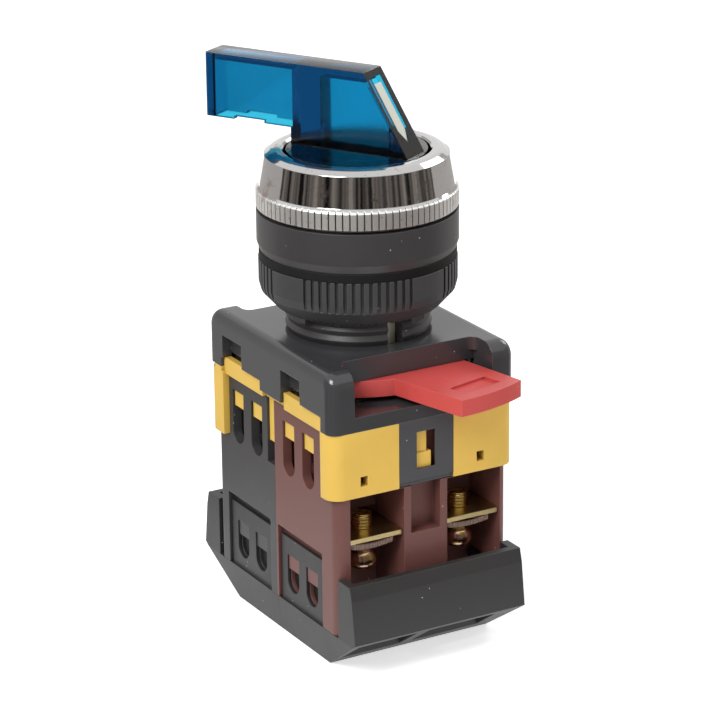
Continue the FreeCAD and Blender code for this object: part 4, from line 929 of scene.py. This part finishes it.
class CAMSWITCH_OT_terminals(Operator):
    """Finishes the clamping screws and their washers"""
    bl_idname = "cam_switch.terminals"
    bl_label = "Terminals"

    def execute(self, context):
        colours, sizes = settings()
        screw_steel = chromated_steel("yellow_chromated_steel", colours.screw, colours.screw_pink)
        washer_steel = rolled_sheet("zinc_plated_stamped_steel", colours.washer, sizes, roughness=0.35)
        spots = solid_spots("terminal_screws")
        piece("clamping_screws", turned_screws(spots, sizes), screw_steel, "terminal_screws")
        stubs = [(x, y, PLATE_TOP) for x, y in spots]
        turns = sizes.stub_height / sizes.thread_pitch
        threads = grown_mesh("screw_threads", thread_tree(), stubs,
                             {"Radius": sizes.stub_radius, "Height": sizes.stub_height,
                              "Ridge": sizes.thread_ridge, "Turns": turns, "Material": screw_steel})
        added("screw_threads", threads, "terminal_screws")
        washers = dished_washers(solid_spots("clamp_washers"), sizes)
        piece("dished_washers", washers, washer_steel, "clamp_washers")
        middles = [(x, y, WASHER_MIDDLE) for x, y in spots]
        ribs = grown_mesh("washer_ribs", rib_tree(), middles,
                          {"Side": sizes.washer_side, "Thickness": sizes.washer_thickness * RIB_HEIGHT,
                           "Dish": sizes.washer_dish, "Ribs": sizes.washer_ribs,
                           "Rib radius": sizes.rib_radius, "Material": washer_steel})
        added("washer_ribs", ribs, "clamp_washers")
        return {"FINISHED"}


class CAMSWITCH_OT_covers(Operator):
    """Finishes the two clip-on terminal covers"""
    bl_idname = "cam_switch.covers"
    bl_label = "Terminal covers"

    def execute(self, context):
        colours, sizes = settings()
        paint(moulded_plastic("moulded_polyamide_cover_grey", colours.cover, sizes,
                              roughness=0.5, grain=0.4), "cover_front", "cover_rear")
        return {"FINISHED"}


def floor_plane():
    """A wide pale floor under the covers."""
    low = CAD_BOX[0].z
    half = FLOOR_HALF
    mesh = bpy.data.meshes.new("studio_floor")
    corners = [(-half, -half, low), (half, -half, low), (half, half, low), (-half, half, low)]
    mesh.from_pydata(corners, [], [(0, 1, 2, 3)])
    mesh.materials.append(floor_material())
    held("studio_floor", mesh)


def seen_directly(tree):
    """One for rays that show the background: camera, glossy and transmission rays."""
    path = add_node(tree, "ShaderNodeLightPath")
    first = add_node(tree, "ShaderNodeMath",
                     links={0: path.outputs["Is Camera Ray"], 1: path.outputs["Is Glossy Ray"]},
                     operation="MAXIMUM")
    both = add_node(tree, "ShaderNodeMath",
                    links={0: first.outputs["Value"], 1: path.outputs["Is Transmission Ray"]},
                    operation="MAXIMUM")
    return both.outputs["Value"]


def floor_material():
    """Matt studio paper: pale, with its shadow kept, lifted to white where it is seen."""
    material, tree = new_material("studio_paper")
    lift = add_node(tree, "ShaderNodeMath", {1: FLOOR_LIFT}, {0: seen_directly(tree)},
                    operation="MULTIPLY")
    shader = add_node(tree, "ShaderNodeBsdfPrincipled",
                      {"Base Color": opaque(linear(FLOOR_COLOUR)), "Roughness": 0.9,
                       "Emission Color": WHITE}, {"Emission Strength": lift.outputs["Value"]})
    surfaced(tree, shader)
    return material


def studio_world():
    """Even sky: white where it is seen, softer as light on the object."""
    world = bpy.data.worlds.new("studio_sky")
    bpy.context.scene.world = world
    world.use_nodes = True
    tree = world.node_tree
    tree.nodes.clear()
    strength = add_node(tree, "ShaderNodeMapRange", {"To Min": SKY_LIGHT, "To Max": 1.0},
                        {"Value": seen_directly(tree)})
    sky = add_node(tree, "ShaderNodeBackground", {"Color": WHITE}, {"Strength": strength.outputs["Result"]})
    add_node(tree, "ShaderNodeOutputWorld", links={"Surface": sky.outputs["Background"]})


def soft_light(name, place, size, power, mirrored):
    """A square soft light that looks at the switch from its place; gloss may show it or not."""
    data = bpy.data.lights.new(name, "AREA")
    data.shape = "SQUARE"
    data.size = size
    data.energy = power
    light = held(name, data)
    light.location = place
    light.rotation_euler = (Vector(LIGHT_AIM) - Vector(place)).to_track_quat("-Z", "Y").to_euler()
    light.visible_glossy = mirrored


def studio_camera():
    """Camera at the photograph's place, with its small roll."""
    a, e, r = (math.radians(v) for v in (CAMERA_AZIMUTH, CAMERA_ELEVATION, CAMERA_ROLL))
    back = Vector((math.sin(a) * math.cos(e), -math.cos(a) * math.cos(e), math.sin(e)))
    flat_right = Vector((math.cos(a), math.sin(a), 0))
    flat_up = back.cross(flat_right)
    right = flat_right * math.cos(r) + flat_up * math.sin(r)
    up = flat_up * math.cos(r) - flat_right * math.sin(r)
    data = bpy.data.cameras.new("photo_camera")
    data.sensor_width = CAMERA_SENSOR
    data.lens = CAMERA_LENS
    data.clip_start = CAMERA_CLIP
    camera = held("photo_camera", data)
    target = flat_right * CAMERA_ASIDE + Vector((0, 0, CAMERA_HEIGHT))
    turned = Matrix((right, up, back)).transposed().to_4x4()
    camera.matrix_world = Matrix.Translation(target + back * CAMERA_DISTANCE) @ turned
    bpy.context.scene.camera = camera


def room_material():
    """Dim room with upright light and dark stripes, as polished metal reflects it."""
    material, tree, place = patterned_material("dim_room")
    axes = add_node(tree, "ShaderNodeSeparateXYZ", links={"Vector": place})
    angle = add_node(tree, "ShaderNodeMath", links={0: axes.outputs["Y"], 1: axes.outputs["X"]},
                     operation="ARCTAN2")
    stripes = add_node(tree, "ShaderNodeTexNoise",
                       {"Scale": ROOM_STRIPES, "Detail": 2.0, "Roughness": 0.75},
                       {"W": angle.outputs["Value"]}, noise_dimensions="1D")
    level = add_node(tree, "ShaderNodeMapRange",
                     {"From Min": 0.4, "From Max": 0.64, "To Min": 0.01, "To Max": 0.36},
                     {"Value": stripes.outputs["Fac"]})
    glow = add_node(tree, "ShaderNodeEmission", {"Color": opaque(linear(ROOM_COLOUR))},
                    {"Strength": level.outputs["Result"]})
    surfaced(tree, glow)
    return material


def card_material():
    """Light grey card at both sides of the room."""
    material, tree = new_material("grey_card")
    glow = add_node(tree, "ShaderNodeEmission",
                    {"Color": opaque(linear(CARD_COLOUR)), "Strength": CARD_LIGHT})
    surfaced(tree, glow)
    return material


def dim_room():
    """A dim card on the floor and a dim wall round the camera's side, seen only in reflections."""
    middle = math.radians(CAMERA_AZIMUTH - 90)
    low = CAD_BOX[0].z + MM
    outline = ((ROOM_INNER, low), (ROOM_RADIUS, low), (ROOM_RADIUS, low + ROOM_HEIGHT))
    corners = []
    for i in range(ROOM_STEPS + 1):
        angle = middle + math.radians(ROOM_SPREAD) * (2 * i / ROOM_STEPS - 1)
        for reach, z in outline:
            corners.append((reach * math.cos(angle), reach * math.sin(angle), z))
    faces = []
    for i in range(ROOM_STEPS):
        for near in (3 * i, 3 * i + 1):
            faces.append((near, near + 1, near + 4, near + 3))
    mesh = bpy.data.meshes.new("dim_room")
    mesh.from_pydata(corners, [], faces)
    mesh.materials.append(room_material())
    mesh.materials.append(card_material())
    for i, face in enumerate(mesh.polygons):
        if abs(2 * (i // 2 + 0.5) / ROOM_STEPS - 1) * ROOM_SPREAD > ROOM_DARK:
            face.material_index = 1
    room = held("dim_room", mesh)
    room.visible_camera = False
    room.visible_shadow = False
    room.visible_diffuse = False
    room.visible_transmission = False


class CAMSWITCH_OT_stage(Operator):
    """Sets up the floor, the soft light and the camera"""
    bl_idname = "cam_switch.stage"
    bl_label = "Stage"

    def execute(self, context):
        context.scene.view_settings.view_transform = "Standard"
        floor_plane()
        studio_world()
        for light in SOFT_LIGHTS:
            soft_light(*light)
        dim_room()
        studio_camera()
        return {"FINISHED"}


class CAMSWITCH_PT_panel(Panel):
    bl_label = "Cam switch"
    bl_space_type = "VIEW_3D"
    bl_region_type = "UI"
    bl_category = "Cam switch"

    def draw(self, context):
        for group in (context.scene.cam_switch_colours, context.scene.cam_switch_sizes):
            box = self.layout.box()
            for key in group.bl_rna.properties.keys():
                if key not in ("rna_type", "name"):
                    box.prop(group, key)
        for operator in STEPS:
            self.layout.operator(operator.bl_idname)


STEPS = (
    CAMSWITCH_OT_lever,
    CAMSWITCH_OT_head,
    CAMSWITCH_OT_core,
    CAMSWITCH_OT_adapter,
    CAMSWITCH_OT_carrier,
    CAMSWITCH_OT_blocks,
    CAMSWITCH_OT_terminals,
    CAMSWITCH_OT_covers,
    CAMSWITCH_OT_stage,
)
CLASSES = (CamSwitchColours, CamSwitchSizes) + STEPS + (CAMSWITCH_PT_panel,)


def register():
    for item in CLASSES:
        bpy.utils.register_class(item)
    bpy.types.Scene.cam_switch_colours = PointerProperty(type=CamSwitchColours)
    bpy.types.Scene.cam_switch_sizes = PointerProperty(type=CamSwitchSizes)


def unregister():
    del bpy.types.Scene.cam_switch_sizes
    del bpy.types.Scene.cam_switch_colours
    for item in reversed(CLASSES):
        bpy.utils.unregister_class(item)


def main():
    register()
    for operator in STEPS:
        group, action = operator.bl_idname.split(".")
        getattr(getattr(bpy.ops, group), action)()


if __name__ == "__main__":
    main()
